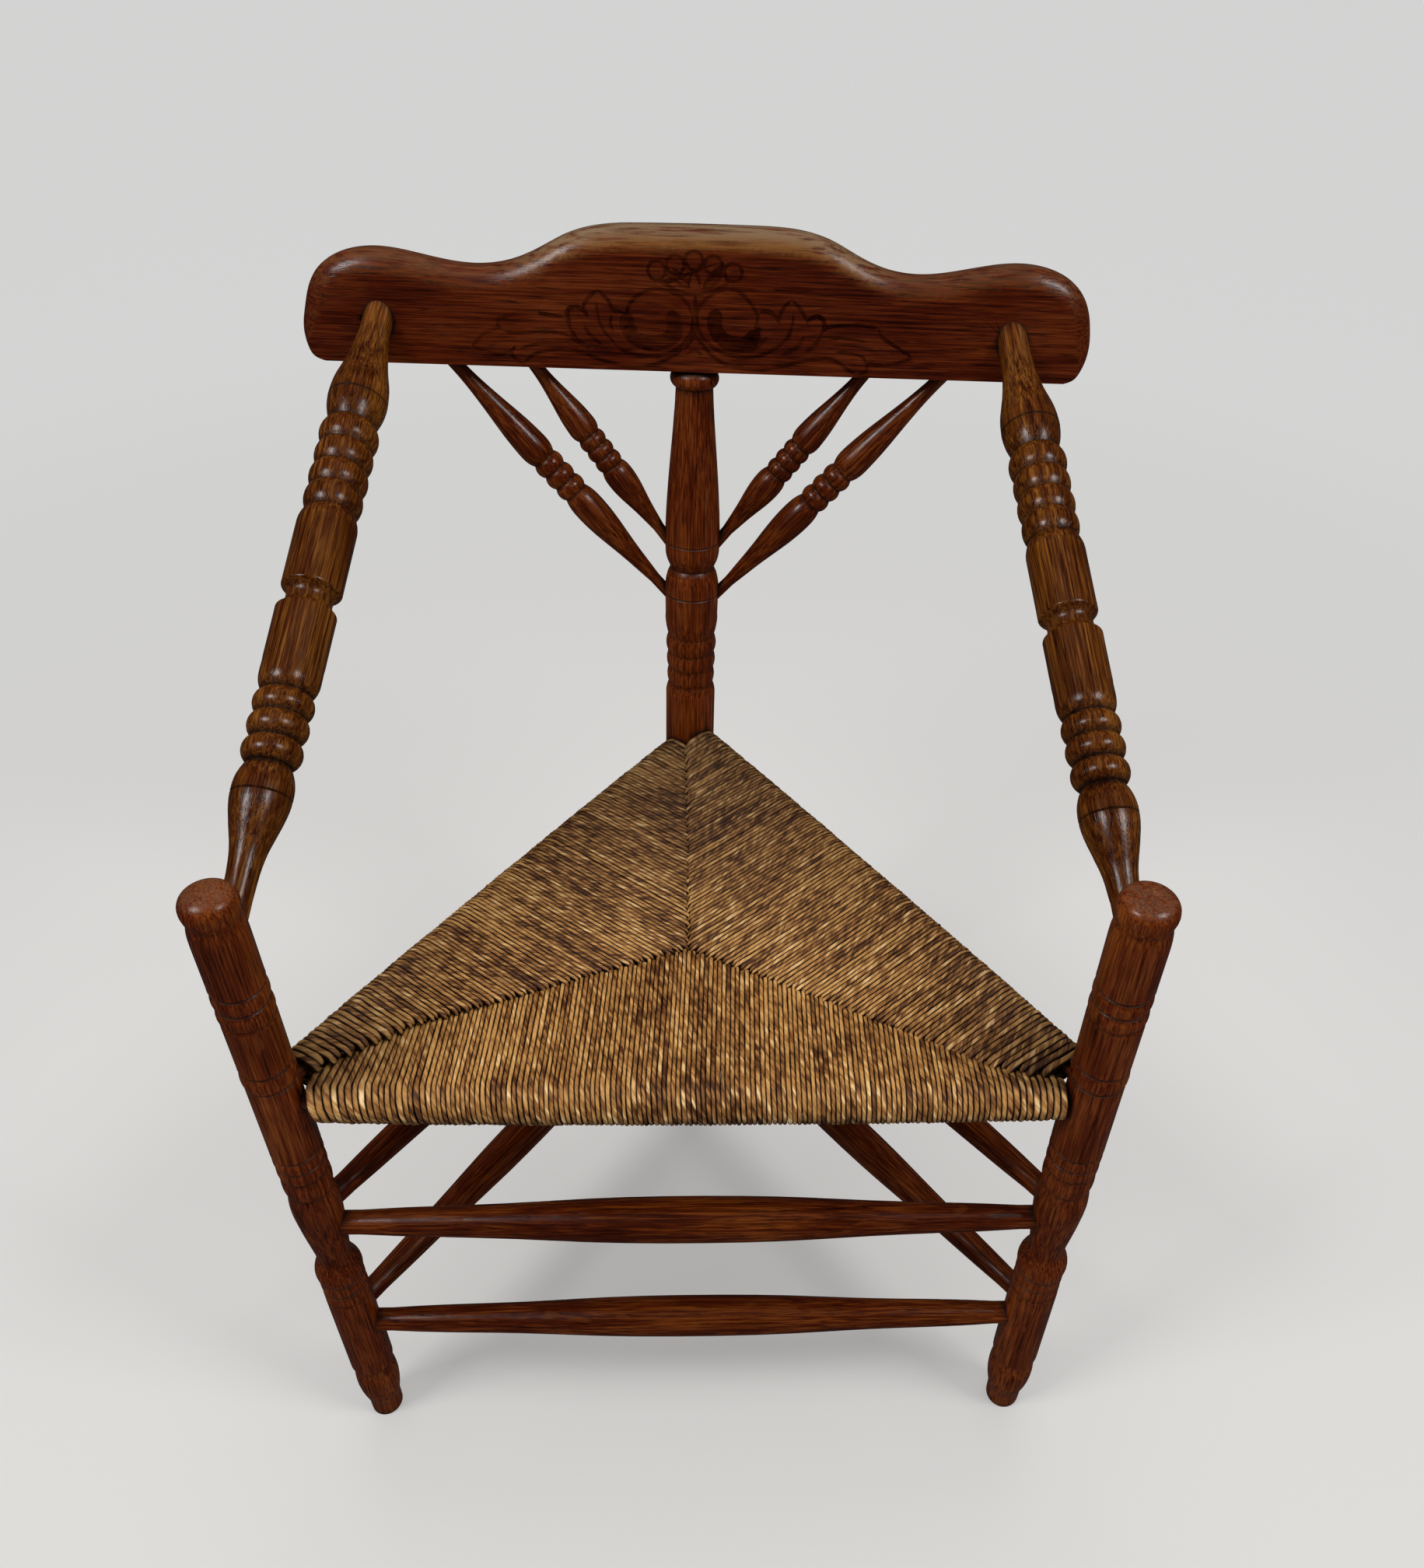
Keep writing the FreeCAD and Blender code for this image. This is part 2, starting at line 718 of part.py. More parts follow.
def moved_to_floor_centre(shapes):
    """Move all shapes together: origin on the floor, under the box's middle."""
    box = Part.Compound(list(shapes.values())).optimalBoundingBox(False, False)
    shift = point(-(box.XMin + box.XMax) / 2, -(box.YMin + box.YMax) / 2, -FLOOR)
    for shape in shapes.values():
        shape.translate(shift)
    return shift


def build():
    shapes = {}
    left_holes, right_holes, back_holes = sockets_in_posts()

    for side, word, girth, shift, holes in (
        (-1, "left", LEFT_ARM_GIRTH, 0.0, left_holes),
        (1, "right", RIGHT_ARM_GIRTH, RIGHT_ARM_SHIFT, right_holes),
    ):
        shapes["arm_" + word] = arm(side, girth, shift)
        low, high = arm_ends(side)
        holes.append(socket(low, high, ARM_LOW_TENON_RADIUS * girth, -8.0, 19.0))

    spindles = (
        ("spindle_outer_left", -1, OUTER_SPINDLE_X, OUTER_SPINDLE_Z, 12.6, 12.4, 143.0, 179.0, 1.9),
        ("spindle_inner_left", -1, INNER_SPINDLE_X, INNER_SPINDLE_Z, 11.6, 11.4, 109.0, 139.0, 1.5),
        ("spindle_inner_right", 1, INNER_SPINDLE_X, INNER_SPINDLE_Z, 11.6, 11.4, 109.0, 139.0, 1.5),
        ("spindle_outer_right", 1, OUTER_SPINDLE_X, OUTER_SPINDLE_Z, 12.6, 12.4, 143.0, 179.0, 1.9),
    )
    crest_holes = []
    for name, side, along, height, lower, upper, first, last, swell in spindles:
        shapes[name] = spindle(side, along, height, lower, upper, first, last, swell)
        low, high = spindle_ends(side, along, height)
        length = (high - low).Length
        back_holes.append(socket(low, high, SPINDLE_TENON_RADIUS, 15.0, SPINDLE_CLEAR_OF_POST))
        crest_holes.append(socket(low, high, 5.0, length - 12.0, length + SPINDLE_TENON + SOCKET_FLOOR))

    shapes["stretcher_front_upper"] = front_stretcher(FRONT_UPPER_Z, 16.8)
    shapes["stretcher_front_lower"] = front_stretcher(FRONT_LOWER_Z, 15.7)
    for side, word in ((-1, "left"), (1, "right")):
        upper = side_stretcher(side, SIDE_UPPER_FRONT_Z, SIDE_UPPER_BACK_Z, 16.0)
        lower = side_stretcher(side, SIDE_LOWER_FRONT_Z, SIDE_LOWER_BACK_Z, 16.0)
        shapes["stretcher_%s_upper" % word] = upper
        shapes["stretcher_%s_lower" % word] = lower

    for name in ("front", "left", "right"):
        shapes["seat_rail_" + name] = seat_rail(name)

    post_rods = [
        (front_axis(-1, 390), front_axis(-1, 510), POST_RADIUS * LEFT_POST_GIRTH),
        (front_axis(1, 390), front_axis(1, 510), POST_RADIUS * RIGHT_POST_GIRTH),
        (back_axis(390), back_axis(510), BACK_POST_RADIUS),
    ]
    shapes["seat_stuffing"] = seat_pad()
    rails = [shapes["seat_rail_" + name] for name in ("front", "left", "right")]
    for name in ("front", "left", "right"):
        shapes["rush_" + name] = rush_panel(name, post_rods, rails, shapes["seat_stuffing"])

    # every post and the crest are drilled for what enters them
    left_post = front_post(-1, LEFT_POST_GIRTH)
    right_post = front_post(1, RIGHT_POST_GIRTH)
    rear_post = back_post()
    for hole in left_holes:
        left_post = left_post.cut(hole)
    for hole in right_holes:
        right_post = right_post.cut(hole)
    for hole in back_holes:
        rear_post = rear_post.cut(hole)
    shapes["post_front_left"] = left_post
    shapes["post_front_right"] = right_post
    shapes["post_back"] = rear_post

    crest = crest_rail()
    stretch = 1.0075
    shoulder = BACK_POST_SHOULDER * stretch
    post_top = shoulder + 48.0 + SOCKET_FLOOR
    crest_holes.append(socket(back_axis(0), back_axis(100), 12.0, shoulder - 10.0, post_top))
    for side, girth in ((-1, LEFT_ARM_GIRTH), (1, RIGHT_ARM_GIRTH)):
        low, high = arm_ends(side)
        length = (high - low).Length
        depth = length + ARM_TENON + SOCKET_FLOOR
        crest_holes.append(socket(low, high, ARM_TENON_RADIUS * girth, length - 10.5, depth))
    for hole in crest_holes:
        crest = crest.cut(hole)
    shapes["crest_rail"] = crest
    return shapes


os.makedirs("parts", exist_ok=True)
chair = build()
offset = moved_to_floor_centre(chair)
print("moved by", offset)
for node, solid in chair.items():
    piece = solid.Solids[0] if solid.ShapeType != "Solid" and len(solid.Solids) == 1 else solid
    print(node, piece.ShapeType, piece.isValid(), len(piece.Solids), round(piece.Volume / 1000, 1), "cm3")
    piece.exportStep("parts/" + node + ".step")
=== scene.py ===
"""The looks of a turned oak corner chair with a triangular rush seat, in metres."""

import logging
import math
import random
from dataclasses import dataclass, field
from enum import Enum
from typing import Sequence

import bpy
import numpy as np
from mathutils import Euler, Matrix, Vector


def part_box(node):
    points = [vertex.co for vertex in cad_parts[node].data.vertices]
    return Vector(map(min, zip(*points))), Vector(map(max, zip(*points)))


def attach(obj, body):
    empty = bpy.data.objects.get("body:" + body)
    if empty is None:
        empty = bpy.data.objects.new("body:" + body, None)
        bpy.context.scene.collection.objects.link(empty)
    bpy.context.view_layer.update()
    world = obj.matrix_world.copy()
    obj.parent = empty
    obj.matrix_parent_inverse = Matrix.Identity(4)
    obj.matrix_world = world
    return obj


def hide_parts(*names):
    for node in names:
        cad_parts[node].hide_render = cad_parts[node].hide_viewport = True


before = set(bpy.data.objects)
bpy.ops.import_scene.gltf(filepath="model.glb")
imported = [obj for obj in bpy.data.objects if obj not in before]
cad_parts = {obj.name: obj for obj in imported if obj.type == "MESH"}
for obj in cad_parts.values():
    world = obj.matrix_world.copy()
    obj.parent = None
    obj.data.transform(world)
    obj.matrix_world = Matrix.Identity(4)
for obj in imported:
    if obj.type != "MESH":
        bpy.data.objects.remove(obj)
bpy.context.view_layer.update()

MM = 0.001
ROOT = "root"
LOG = logging.getLogger("corner_chair")

Colour = tuple[float, float, float]
Point = tuple[float, float, float]


class Quarter(Enum):
    """The three woven thirds of the seat, each named after its rail."""

    FRONT = "front"
    LEFT = "left"
    RIGHT = "right"


# Shader maths


class Socket:
    """A shader output that can be added, subtracted and multiplied in Python."""

    def __init__(self, shader: "Shader", output: bpy.types.NodeSocket) -> None:
        """Keep the output and the shader it belongs to."""
        self.shader = shader
        self.output = output

    def maths(self, operation: str, *others: "Socket | float") -> "Socket":
        """Run one Math node on this value.

        Args:
            operation: The Math node's operation.
            others: The second and third values.

        Returns:
            The node's result.
        """
        values = dict(enumerate((self,) + others))
        return self.shader.node("ShaderNodeMath", {"operation": operation}, values)

    def __add__(self, other: "Socket | float") -> "Socket":
        """Give self + other."""
        return self.maths("ADD", other)

    __radd__ = __add__

    def __sub__(self, other: "Socket | float") -> "Socket":
        """Give self - other."""
        return self.maths("SUBTRACT", other)

    def __rsub__(self, other: "Socket | float") -> "Socket":
        """Give other - self."""
        return (self * -1.0) + other

    def __mul__(self, other: "Socket | float") -> "Socket":
        """Give self * other."""
        return self.maths("MULTIPLY", other)

    def sine(self) -> "Socket":
        """Give the sine of this angle in radians."""
        return self.maths("SINE")

    def step(self, low: float, high: float) -> "Socket":
        """Give a smooth step from 0 at low to 1 at high."""
        settings = {"interpolation_type": "SMOOTHSTEP"}
        return self.shader.node("ShaderNodeMapRange", settings, {0: self, 1: low, 2: high})


class Shader:
    """The node tree of one material."""

    def __init__(self, name: str) -> None:
        """Start an empty material with a Principled shader.

        Args:
            name: The material's name.
        """
        self.material = bpy.data.materials.new(name)
        self.material.use_nodes = True
        self.tree = self.material.node_tree
        self.tree.nodes.clear()
        self.surface = self.tree.nodes.new("ShaderNodeBsdfPrincipled")
        ending = self.tree.nodes.new("ShaderNodeOutputMaterial")
        self.tree.links.new(self.surface.outputs["BSDF"], ending.inputs["Surface"])

    def plug(self, socket: bpy.types.NodeSocket, value: "Socket | float | Sequence[float]") -> None:
        """Link a value to an input, or set the input to a number or colour.

        Args:
            socket: The input.
            value: The value.
        """
        if isinstance(value, Socket):
            self.tree.links.new(value.output, socket)
        elif socket.type == "RGBA":
            socket.default_value = (*value[:3], 1.0)
        else:
            socket.default_value = value

    def node(
        self,
        kind: str,
        settings: dict | None = None,
        sockets: dict | None = None,
        output: int | str = 0,
    ) -> Socket:
        """Add one node.

        Args:
            kind: The node's type name.
            settings: Its own settings; "stops" holds a ramp's (place, colour) pairs.
            sockets: Values or links by the input's name or number.
            output: The output that is wanted.

        Returns:
            That output.
        """
        made = self.tree.nodes.new(kind)
        for key, value in (settings or {}).items():
            if key == "stops":
                self._set_stops(made.color_ramp, value)
            else:
                setattr(made, key, value)
        for key, value in (sockets or {}).items():
            self.plug(made.inputs[key], value)
        return Socket(self, made.outputs[output])

    @staticmethod
    def _set_stops(ramp: bpy.types.ColorRamp, stops: Sequence[tuple[float, Colour]]) -> None:
        """Give a ramp its stops.

        Args:
            ramp: The ramp.
            stops: Each stop's place and colour, in order.
        """
        while len(ramp.elements) < len(stops):
            ramp.elements.new(0.5)
        for element, (place, colour) in zip(ramp.elements, stops):
            element.position = place
            element.color = (*colour, 1.0)

    def ramp(self, factor: Socket, stops: Sequence[tuple[float, Colour]]) -> Socket:
        """Give the colour of a ramp at a factor."""
        return self.node("ShaderNodeValToRGB", {"stops": stops}, {0: factor})

    def mix(self, factor: "Socket | float", first: "Socket | Colour", second: "Socket | Colour") -> Socket:
        """Mix two colours, first at factor 0."""
        sockets = {0: factor, 6: first, 7: second}
        return self.node("ShaderNodeMix", {"data_type": "RGBA"}, sockets, 2)

    def vector(self, operation: str, sockets: dict, output: int | str = 0) -> Socket:
        """Give an output of one Vector Math node."""
        return self.node("ShaderNodeVectorMath", {"operation": operation}, sockets, output)

    def darken(self, colour: Socket, amount: "Socket | float") -> Socket:
        """Multiply a colour by a single value."""
        return self.vector("SCALE", {0: colour, "Scale": amount})

    def noise(
        self, place: Socket, stretch: Point, scale: float, detail: float = 3.0, rough: float = 0.5
    ) -> Socket:
        """Give noise between 0 and 1.

        Args:
            place: Where the noise is read.
            stretch: Multiplies the place, axis by axis.
            scale: The noise's scale.
            detail: The noise's octaves.
            rough: The share of each finer octave.

        Returns:
            The noise.
        """
        scaled = self.vector("MULTIPLY", {0: place, 1: stretch})
        sockets = {"Vector": scaled, "Scale": scale, "Detail": detail, "Roughness": rough}
        return self.node("ShaderNodeTexNoise", None, sockets, "Fac")

    def place(self) -> Socket:
        """Give where a point of the surface is in its object."""
        return self.node("ShaderNodeTexCoord", None, None, "Object")

    def axis(self, place: Socket, name: str) -> Socket:
        """Give one coordinate of a place."""
        return self.node("ShaderNodeSeparateXYZ", None, {0: place}, name)

    def geometry(self, output: str) -> Socket:
        """Give one output of the Geometry node."""
        return self.node("ShaderNodeNewGeometry", None, None, output)

    def openness(self, distance: float) -> Socket:
        """Give 1 on open faces and less in hollows, looking out to a distance."""
        return self.node("ShaderNodeAmbientOcclusion", {"samples": 6}, {"Distance": distance}, "AO")

    def bump(self, height: Socket, strength: float, distance: float) -> Socket:
        """Give the normal that a height leads to."""
        sockets = {"Strength": strength, "Distance": distance, "Height": height}
        return self.node("ShaderNodeBump", None, sockets)

    def finish(self, **sockets: "Socket | float | Colour") -> bpy.types.Material:
        """Plug the Principled shader's sockets by name.

        Args:
            sockets: Values by socket name, with underscores for spaces.

        Returns:
            The finished material.
        """
        for name, value in sockets.items():
            self.plug(self.surface.inputs[name.replace("_", " ")], value)
        return self.material


# Finishes


@dataclass(frozen=True)
class OakFinish:
    """Stained and waxed oak, with its grain along one line.

    The colours run from the pores to the light summer wood.
    """

    PATTERN_STEP = (0.31, 0.17, 0.53)
    PITH_OFFSET = (0.041, 0.018, 0.0)
    RING_WANDER = 0.024
    FIBRE_SHARE = 1.4
    CLOUD_SHARE = 0.8
    TONE_BASE = 0.08
    FLECK_SHARE = 0.35
    # Pointiness bands for the painted shade in hollows and the painted highlight on crowns.
    SHADED_HOLLOW = (0.462, 0.502)
    HIGHLIT_CROWN = (0.506, 0.545)

    name: str
    pore: Colour = (0.0070, 0.0010, 0.0003)
    dark: Colour = (0.0240, 0.0030, 0.0006)
    middle: Colour = (0.0860, 0.0128, 0.0014)
    light: Colour = (0.1800, 0.0450, 0.0060)
    figure: float = 0.13
    ring_pitch: float = 3.1 * MM
    streak: float = 0.55
    pores: float = 0.80
    golden: float = 0.0
    golden_colour: Colour = (0.200, 0.085, 0.022)
    # Painted sheen over real wear on upward faces: its share and its greyish colour; the reach sets how
    # far from the middle both it and the warm tone spread.
    sheen_and_wear: float = 0.0
    sheen_and_wear_colour: Colour = (0.17, 0.115, 0.068)
    tone_and_sheen_reach: float = 9.0
    roughness: float = 0.22
    specular: float = 0.24
    # How far the painted shade with dirt reaches into the hollows.
    dirt_and_shade_reach: float = 7.0 * MM
    # Turned pieces also get painted shade in the bead hollows and a painted highlight on their crowns.
    turned: bool = True

    def make(self, piece: str, centre: Vector, grain: Vector, seed: float) -> bpy.types.Material:
        """Make the finish for one piece.

        Args:
            piece: The piece's name, for the material's name.
            centre: The middle of the piece.
            grain: The direction of the grain.
            seed: Moves the pattern, so that no two pieces are alike.

        Returns:
            The material.
        """
        shader = Shader("%s_%s" % (self.name, piece))
        turn = grain.normalized().rotation_difference(Vector((0, 0, 1)))
        start = Vector(self.PATTERN_STEP) * seed
        place = shader.node(
            "ShaderNodeMapping",
            None,
            {
                "Vector": shader.place(),
                "Location": start - turn @ centre,
                "Rotation": turn.to_euler(),
            },
        )
        colour, height = self._wood(shader, place, start)
        colour, dirt = self._wear_and_painted_light(shader, colour, place, start)
        uneven = shader.noise(place, (1.0, 1.0, 0.3), 60.0, 3.0) * 0.20
        return shader.finish(
            Base_Color=colour,
            Roughness=uneven + (self.roughness - 0.10) + dirt * 0.45,
            Normal=shader.bump(height, 0.30, 0.20 * MM),
            Specular_IOR_Level=self.specular,
        )

    def _wood(self, shader: Shader, place: Socket, start: Vector) -> tuple[Socket, Socket]:
        """Draw the rings, fibres, pores and flecks.

        Args:
            shader: The material's shader.
            place: The place in the piece, with the grain along z.
            start: The piece's middle in the pattern.

        Returns:
            The wood's colour and the height of its surface.
        """
        wander = shader.noise(place, (1.0, 1.0, 0.20), 20.0, 2.0)
        pith = shader.vector("SUBTRACT", {0: place, 1: start + Vector(self.PITH_OFFSET)})
        across = shader.vector("MULTIPLY", {0: pith, 1: (1.0, 1.0, 0.0)})
        radius = shader.vector("LENGTH", {0: across}, "Value")
        turns = (radius + wander * self.RING_WANDER) * (2.0 * math.pi / self.ring_pitch)
        uneven = shader.noise(place, (1.0, 1.0, 0.10), 90.0, 2.0).step(0.35, 0.65)
        rings = (turns.sine() * 0.5 + 0.5).step(0.30, 1.0) * uneven
        fibre = shader.noise(place, (1.0, 1.0, 0.020), 760.0, 4.0, 0.62)
        streaks = shader.noise(place, (1.0, 1.0, 0.045), 330.0, 4.0, 0.6)
        cloud = shader.noise(place, (1.0, 1.0, 0.30), 30.0, 3.0)
        tone = (0.5 - rings) * self.figure + (fibre - 0.5) * self.FIBRE_SHARE
        tone = tone + (streaks - 0.5) * self.streak + cloud * self.CLOUD_SHARE + self.TONE_BASE
        colour = shader.ramp(tone, [(0.16, self.dark), (0.48, self.middle), (0.86, self.light)])
        pores = shader.noise(place, (1.0, 1.0, 0.042), 1150.0, 2.0, 0.5)
        open_pores = pores.step(0.53, 0.63) * (0.60 + rings * 0.40)
        colour = shader.mix(open_pores * self.pores, colour, self.pore)
        fleck = shader.noise(place, (1.0, 0.35, 0.12), 300.0, 1.0).step(0.66, 0.74)
        colour = shader.mix(fleck * self.FLECK_SHARE, colour, self.light)
        return colour, fibre * 0.5 - open_pores

    def _wear_and_painted_light(
        self, shader: Shader, colour: Socket, place: Socket, start: Vector
    ) -> tuple[Socket, Socket]:
        """Lighten the upward faces with a warmer tone and a painted sheen over real wear, and paint shade
        with dirt into the hollows; turned pieces also get a painted highlight on their crowns.

        Args:
            shader: The material's shader.
            colour: The wood's own colour, before wear and painted light.
            place: The place in the piece, with the grain along z.
            start: The piece's middle in the pattern.

        Returns:
            The colour with its wear, painted sheen, painted shade and painted highlight, and how much dirt
            lies in the hollows.
        """
        normal = shader.axis(shader.geometry("Normal"), "Z")
        patchy = shader.noise(place, (1.0, 1.0, 0.06), 260.0, 4.0, 0.6)
        away = (shader.axis(place, "Z") - start.z).maths("ABSOLUTE")
        middle = 1.0 - away.step(self.tone_and_sheen_reach * 0.6, self.tone_and_sheen_reach)
        if self.golden > 0.0:
            warm = normal.step(0.13, 0.50) * patchy.step(0.36, 0.60) * (middle * 0.75 + 0.25)
            colour = shader.mix(warm * self.golden, colour, self.golden_colour)
        # Painted sheen over real wear: a greyish light on faces turned up, patchy, strongest near the
        # piece's middle.
        if self.sheen_and_wear > 0.0:
            sheen_and_wear_mask = normal.step(0.40, 0.95) * patchy.step(0.30, 0.58) * (middle * 0.85 + 0.15)
            colour = shader.mix(sheen_and_wear_mask * self.sheen_and_wear, colour, self.sheen_and_wear_colour)
        # Painted shade with real dirt: darker where the surface is closed in, in grooves, corners and
        # joints.
        unshaded_and_clean = shader.openness(self.dirt_and_shade_reach).step(0.55, 0.98)
        dirt_shade_and_highlight = unshaded_and_clean * 0.86 + 0.14
        # On turned pieces: painted shade in the hollows between beads and a painted highlight on their
        # crowns.
        if self.turned:
            bend = shader.geometry("Pointiness")
            dirt_shade_and_highlight = dirt_shade_and_highlight * (bend.step(*self.SHADED_HOLLOW) * 0.60 + 0.40)
            dirt_shade_and_highlight = dirt_shade_and_highlight * (bend.step(*self.HIGHLIT_CROWN) * 0.30 + 1.0)
        return shader.darken(colour, dirt_shade_and_highlight), 1.0 - unshaded_and_clean


@dataclass(frozen=True)
class RushFinish:
    """Twisted rush: straw brown on the lit side, with painted glints, and painted shade nearly black in
    the gaps, darker under the nose, toward the back and by the front posts.
    """

    TWIST = 48.0
    SHADED_UNDERSIDE = (0.4270, 0.4370)
    FIBRE_SHARE = 1.4
    BLADE_SHARE = 1.9
    LENGTH_SHARE = 1.3
    TONE_SHARE = 0.34
    DARKER = 0.17

    name: str
    # The nearly black painted shade between and beside the strands.
    gap: Colour = (0.0070, 0.0012, 0.0002)
    dark: Colour = (0.0650, 0.0190, 0.0036)
    middle: Colour = (0.2550, 0.1040, 0.0230)
    light: Colour = (0.4900, 0.2500, 0.0700)
    # The colour of the painted glints.
    shine: Colour = (0.9000, 0.6400, 0.3300)

    def make(self, front: float) -> bpy.types.Material:
        """Make the rush from its strand map: round the strand, along it, its tone.

        Args:
            front: Where the front rail's axis lies, for the painted glints on the seat's nose and the
                painted shade under it.

        Returns:
            The material.
        """
        shader = Shader(self.name)
        strand = shader.node("ShaderNodeUVMap", {"uv_map": RushWeaver.STRAND_MAP})
        tone = shader.node("ShaderNodeAttribute", {"attribute_name": RushWeaver.TONE}, None, "Fac")
        place = shader.place()
        around = shader.axis(strand, "X")
        along = shader.axis(strand, "Y")
        depth = shader.axis(place, "Y")
        nose = 1.0 - depth.step(front - 10.0 * MM, front)
        # Painted shade under the seat's nose: the rounded front below this height is darkened.
        below = 1.0 - shader.axis(place, "Z").step(*self.SHADED_UNDERSIDE)
        twisted = around + along * self.TWIST
        wound = shader.node("ShaderNodeCombineXYZ", None, {0: twisted, 1: along, 2: tone * 37.0})
        fibre = shader.noise(wound, (11.0, 150.0, 1.0), 1.0, 3.0, 0.6)
        blades = shader.noise(wound, (3.2, 60.0, 1.0), 1.0, 2.0, 0.5)
        length = shader.noise(wound, (0.0, 22.0, 1.0), 1.0, 2.0)
        patch = shader.noise(place, (1.0, 1.0, 1.0), 12.0, 3.0)
        mixed = (fibre - 0.5) * self.FIBRE_SHARE + (blades - 0.5) * self.BLADE_SHARE
        mixed = mixed + (length - 0.5) * self.LENGTH_SHARE + tone * self.TONE_SHARE + patch - self.DARKER
        colour = shader.ramp(mixed, [(0.10, self.dark), (0.46, self.middle), (0.86, self.light)])
        # Painted glints: short bright flecks of the shine colour, stronger on the seat's nose.
        glint = blades.step(0.56, 0.68) * length.step(0.47, 0.60)
        colour = shader.mix(glint * (0.45 + nose * 0.50), colour, self.shine)
        # Painted shade: nearly black where each strand turns away into the cleft beside its neighbour, and
        # where the strands close in.
        cleft_shade = (around * (4.0 * math.pi)).maths("COSINE") * 0.5 + 0.5
        deep = 1.0 - shader.openness(4.0 * MM).step(0.15, 0.70)
        colour = shader.mix(cleft_shade.step(0.30, 0.80) * 0.96, colour, self.gap)
        colour = shader.mix(deep * 0.85, colour, self.gap)
        # Painted shade: darker toward the back of the seat and under the nose; darker by the front posts
        # off the nose, dirt and painted shade together.
        far = depth.step(front + 50.0 * MM, front + 400.0 * MM) * 0.58
        aside = shader.axis(place, "X").maths("ABSOLUTE")
        corner = aside.step(0.15, 0.26) * (1.0 - nose) * 0.50
        colour = shader.darken(colour, (1.0 - far) * (1.0 - corner) * (1.0 - below * nose * 0.45))
        return shader.finish(
            Base_Color=colour,
            Roughness=0.52 - glint * 0.22 + fibre * 0.10,
            Normal=shader.bump(fibre + blades, 0.8, 0.5 * MM),
            Specular_IOR_Level=0.30,
        )


@dataclass(frozen=True)
class StuffingFinish:
    """The dry, dark packing inside the seat."""

    name: str
    colour: Colour = (0.040, 0.018, 0.006)
    pale: Colour = (0.110, 0.055, 0.018)

    def make(self) -> bpy.types.Material:
        """Make the packing: dark straws with pale ones between.

        Returns:
            The material.
        """
        shader = Shader(self.name)
        straw = shader.noise(shader.place(), (1.0, 0.08, 1.0), 420.0, 4.0)
        colour = shader.mix(straw.step(0.35, 0.75), self.colour, self.pale)
        bump = shader.bump(straw, 0.8, 1.0 * MM)
        return shader.finish(Base_Color=colour, Roughness=0.85, Normal=bump)


@dataclass(frozen=True)
class FloorFinish:
    """A plain pale studio floor."""

    name: str
    colour: Colour = (0.74, 0.718, 0.695)
    far_colour: Colour = (0.665, 0.668, 0.662)

    def make(self) -> bpy.types.Material:
        """Make the floor: lit near the chair, an even tone to the camera far off.

        Returns:
            The material.
        """
        shader = Shader(self.name)
        seen = shader.node("ShaderNodeLightPath", None, None, "Is Camera Ray")
        far = shader.vector("LENGTH", {0: shader.place()}, "Value").step(0.3, 2.4)
        even = seen * (far * 0.58 + 0.38)
        shader.surface.inputs["Base Color"].default_value = (*self.colour, 1.0)
        shader.surface.inputs["Roughness"].default_value = 0.8
        glow = shader.tree.nodes.new("ShaderNodeEmission")
        glow.inputs["Color"].default_value = (*self.far_colour, 1.0)
        both = shader.node("ShaderNodeMixShader", None, {0: even})
        shader.tree.links.new(shader.surface.outputs[0], both.output.node.inputs[1])
        shader.tree.links.new(glow.outputs[0], both.output.node.inputs[2])
        ending = next(node for node in shader.tree.nodes if node.type == "OUTPUT_MATERIAL")
        shader.tree.links.new(both.output, ending.inputs["Surface"])
        return shader.material


# Shared hand work


def deselect_all() -> None:
    """Leave edit mode and deselect everything."""
    if bpy.context.object and bpy.context.object.mode != "OBJECT":
        bpy.ops.object.mode_set(mode="OBJECT")
    bpy.ops.object.select_all(action="DESELECT")


def middle_of(node: str) -> Vector:
    """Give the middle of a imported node's box."""
    low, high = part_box(node)
    return (low + high) / 2


def between_posts() -> Vector:
    """Give the middle between the two front posts."""
    return (middle_of("post_front_left") + middle_of("post_front_right")) / 2


def copied(thing: bpy.types.Object) -> bpy.types.Object:
    """Copy an object and its mesh into the scene.

    Args:
        thing: The object.

    Returns:
        The copy.
    """
    twin = thing.copy()
    twin.data = thing.data.copy()
    bpy.context.collection.objects.link(twin)
    return twin


def reach_along(path: np.ndarray) -> np.ndarray:
    """Give how far along a path each of its points lies."""
    steps = np.linalg.norm(np.diff(path, axis=0), axis=1)
    return np.concatenate([[0.0], np.cumsum(steps)])


def places_on(path: np.ndarray, reach: np.ndarray, here: np.ndarray) -> np.ndarray:
    """Give the points that lie at the distances "here" along a path."""
    return np.stack([np.interp(here, reach, values) for values in path.T], axis=1)


def points_of(thing: bpy.types.Object) -> np.ndarray:
    """Give a mesh's points as rows of x, y, z."""
    flat = np.empty(len(thing.data.vertices) * 3, np.float32)
    thing.data.vertices.foreach_get("co", flat)
    return flat.reshape(-1, 3)


def put_points(thing: bpy.types.Object, points: np.ndarray) -> None:
    """Move a mesh's points to rows of x, y, z."""
    thing.data.vertices.foreach_set("co", points.astype(np.float32).ravel())


def long_axis(node: str) -> Vector:
    """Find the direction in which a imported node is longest.

    Args:
        node: The node's name.

    Returns:
        The direction, of length 1.
    """
    points = points_of(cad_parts[node])
    spread = points - points.mean(axis=0)
    values, vectors = np.linalg.eigh(spread.T @ spread)
    return Vector(vectors[:, int(np.argmax(values))])


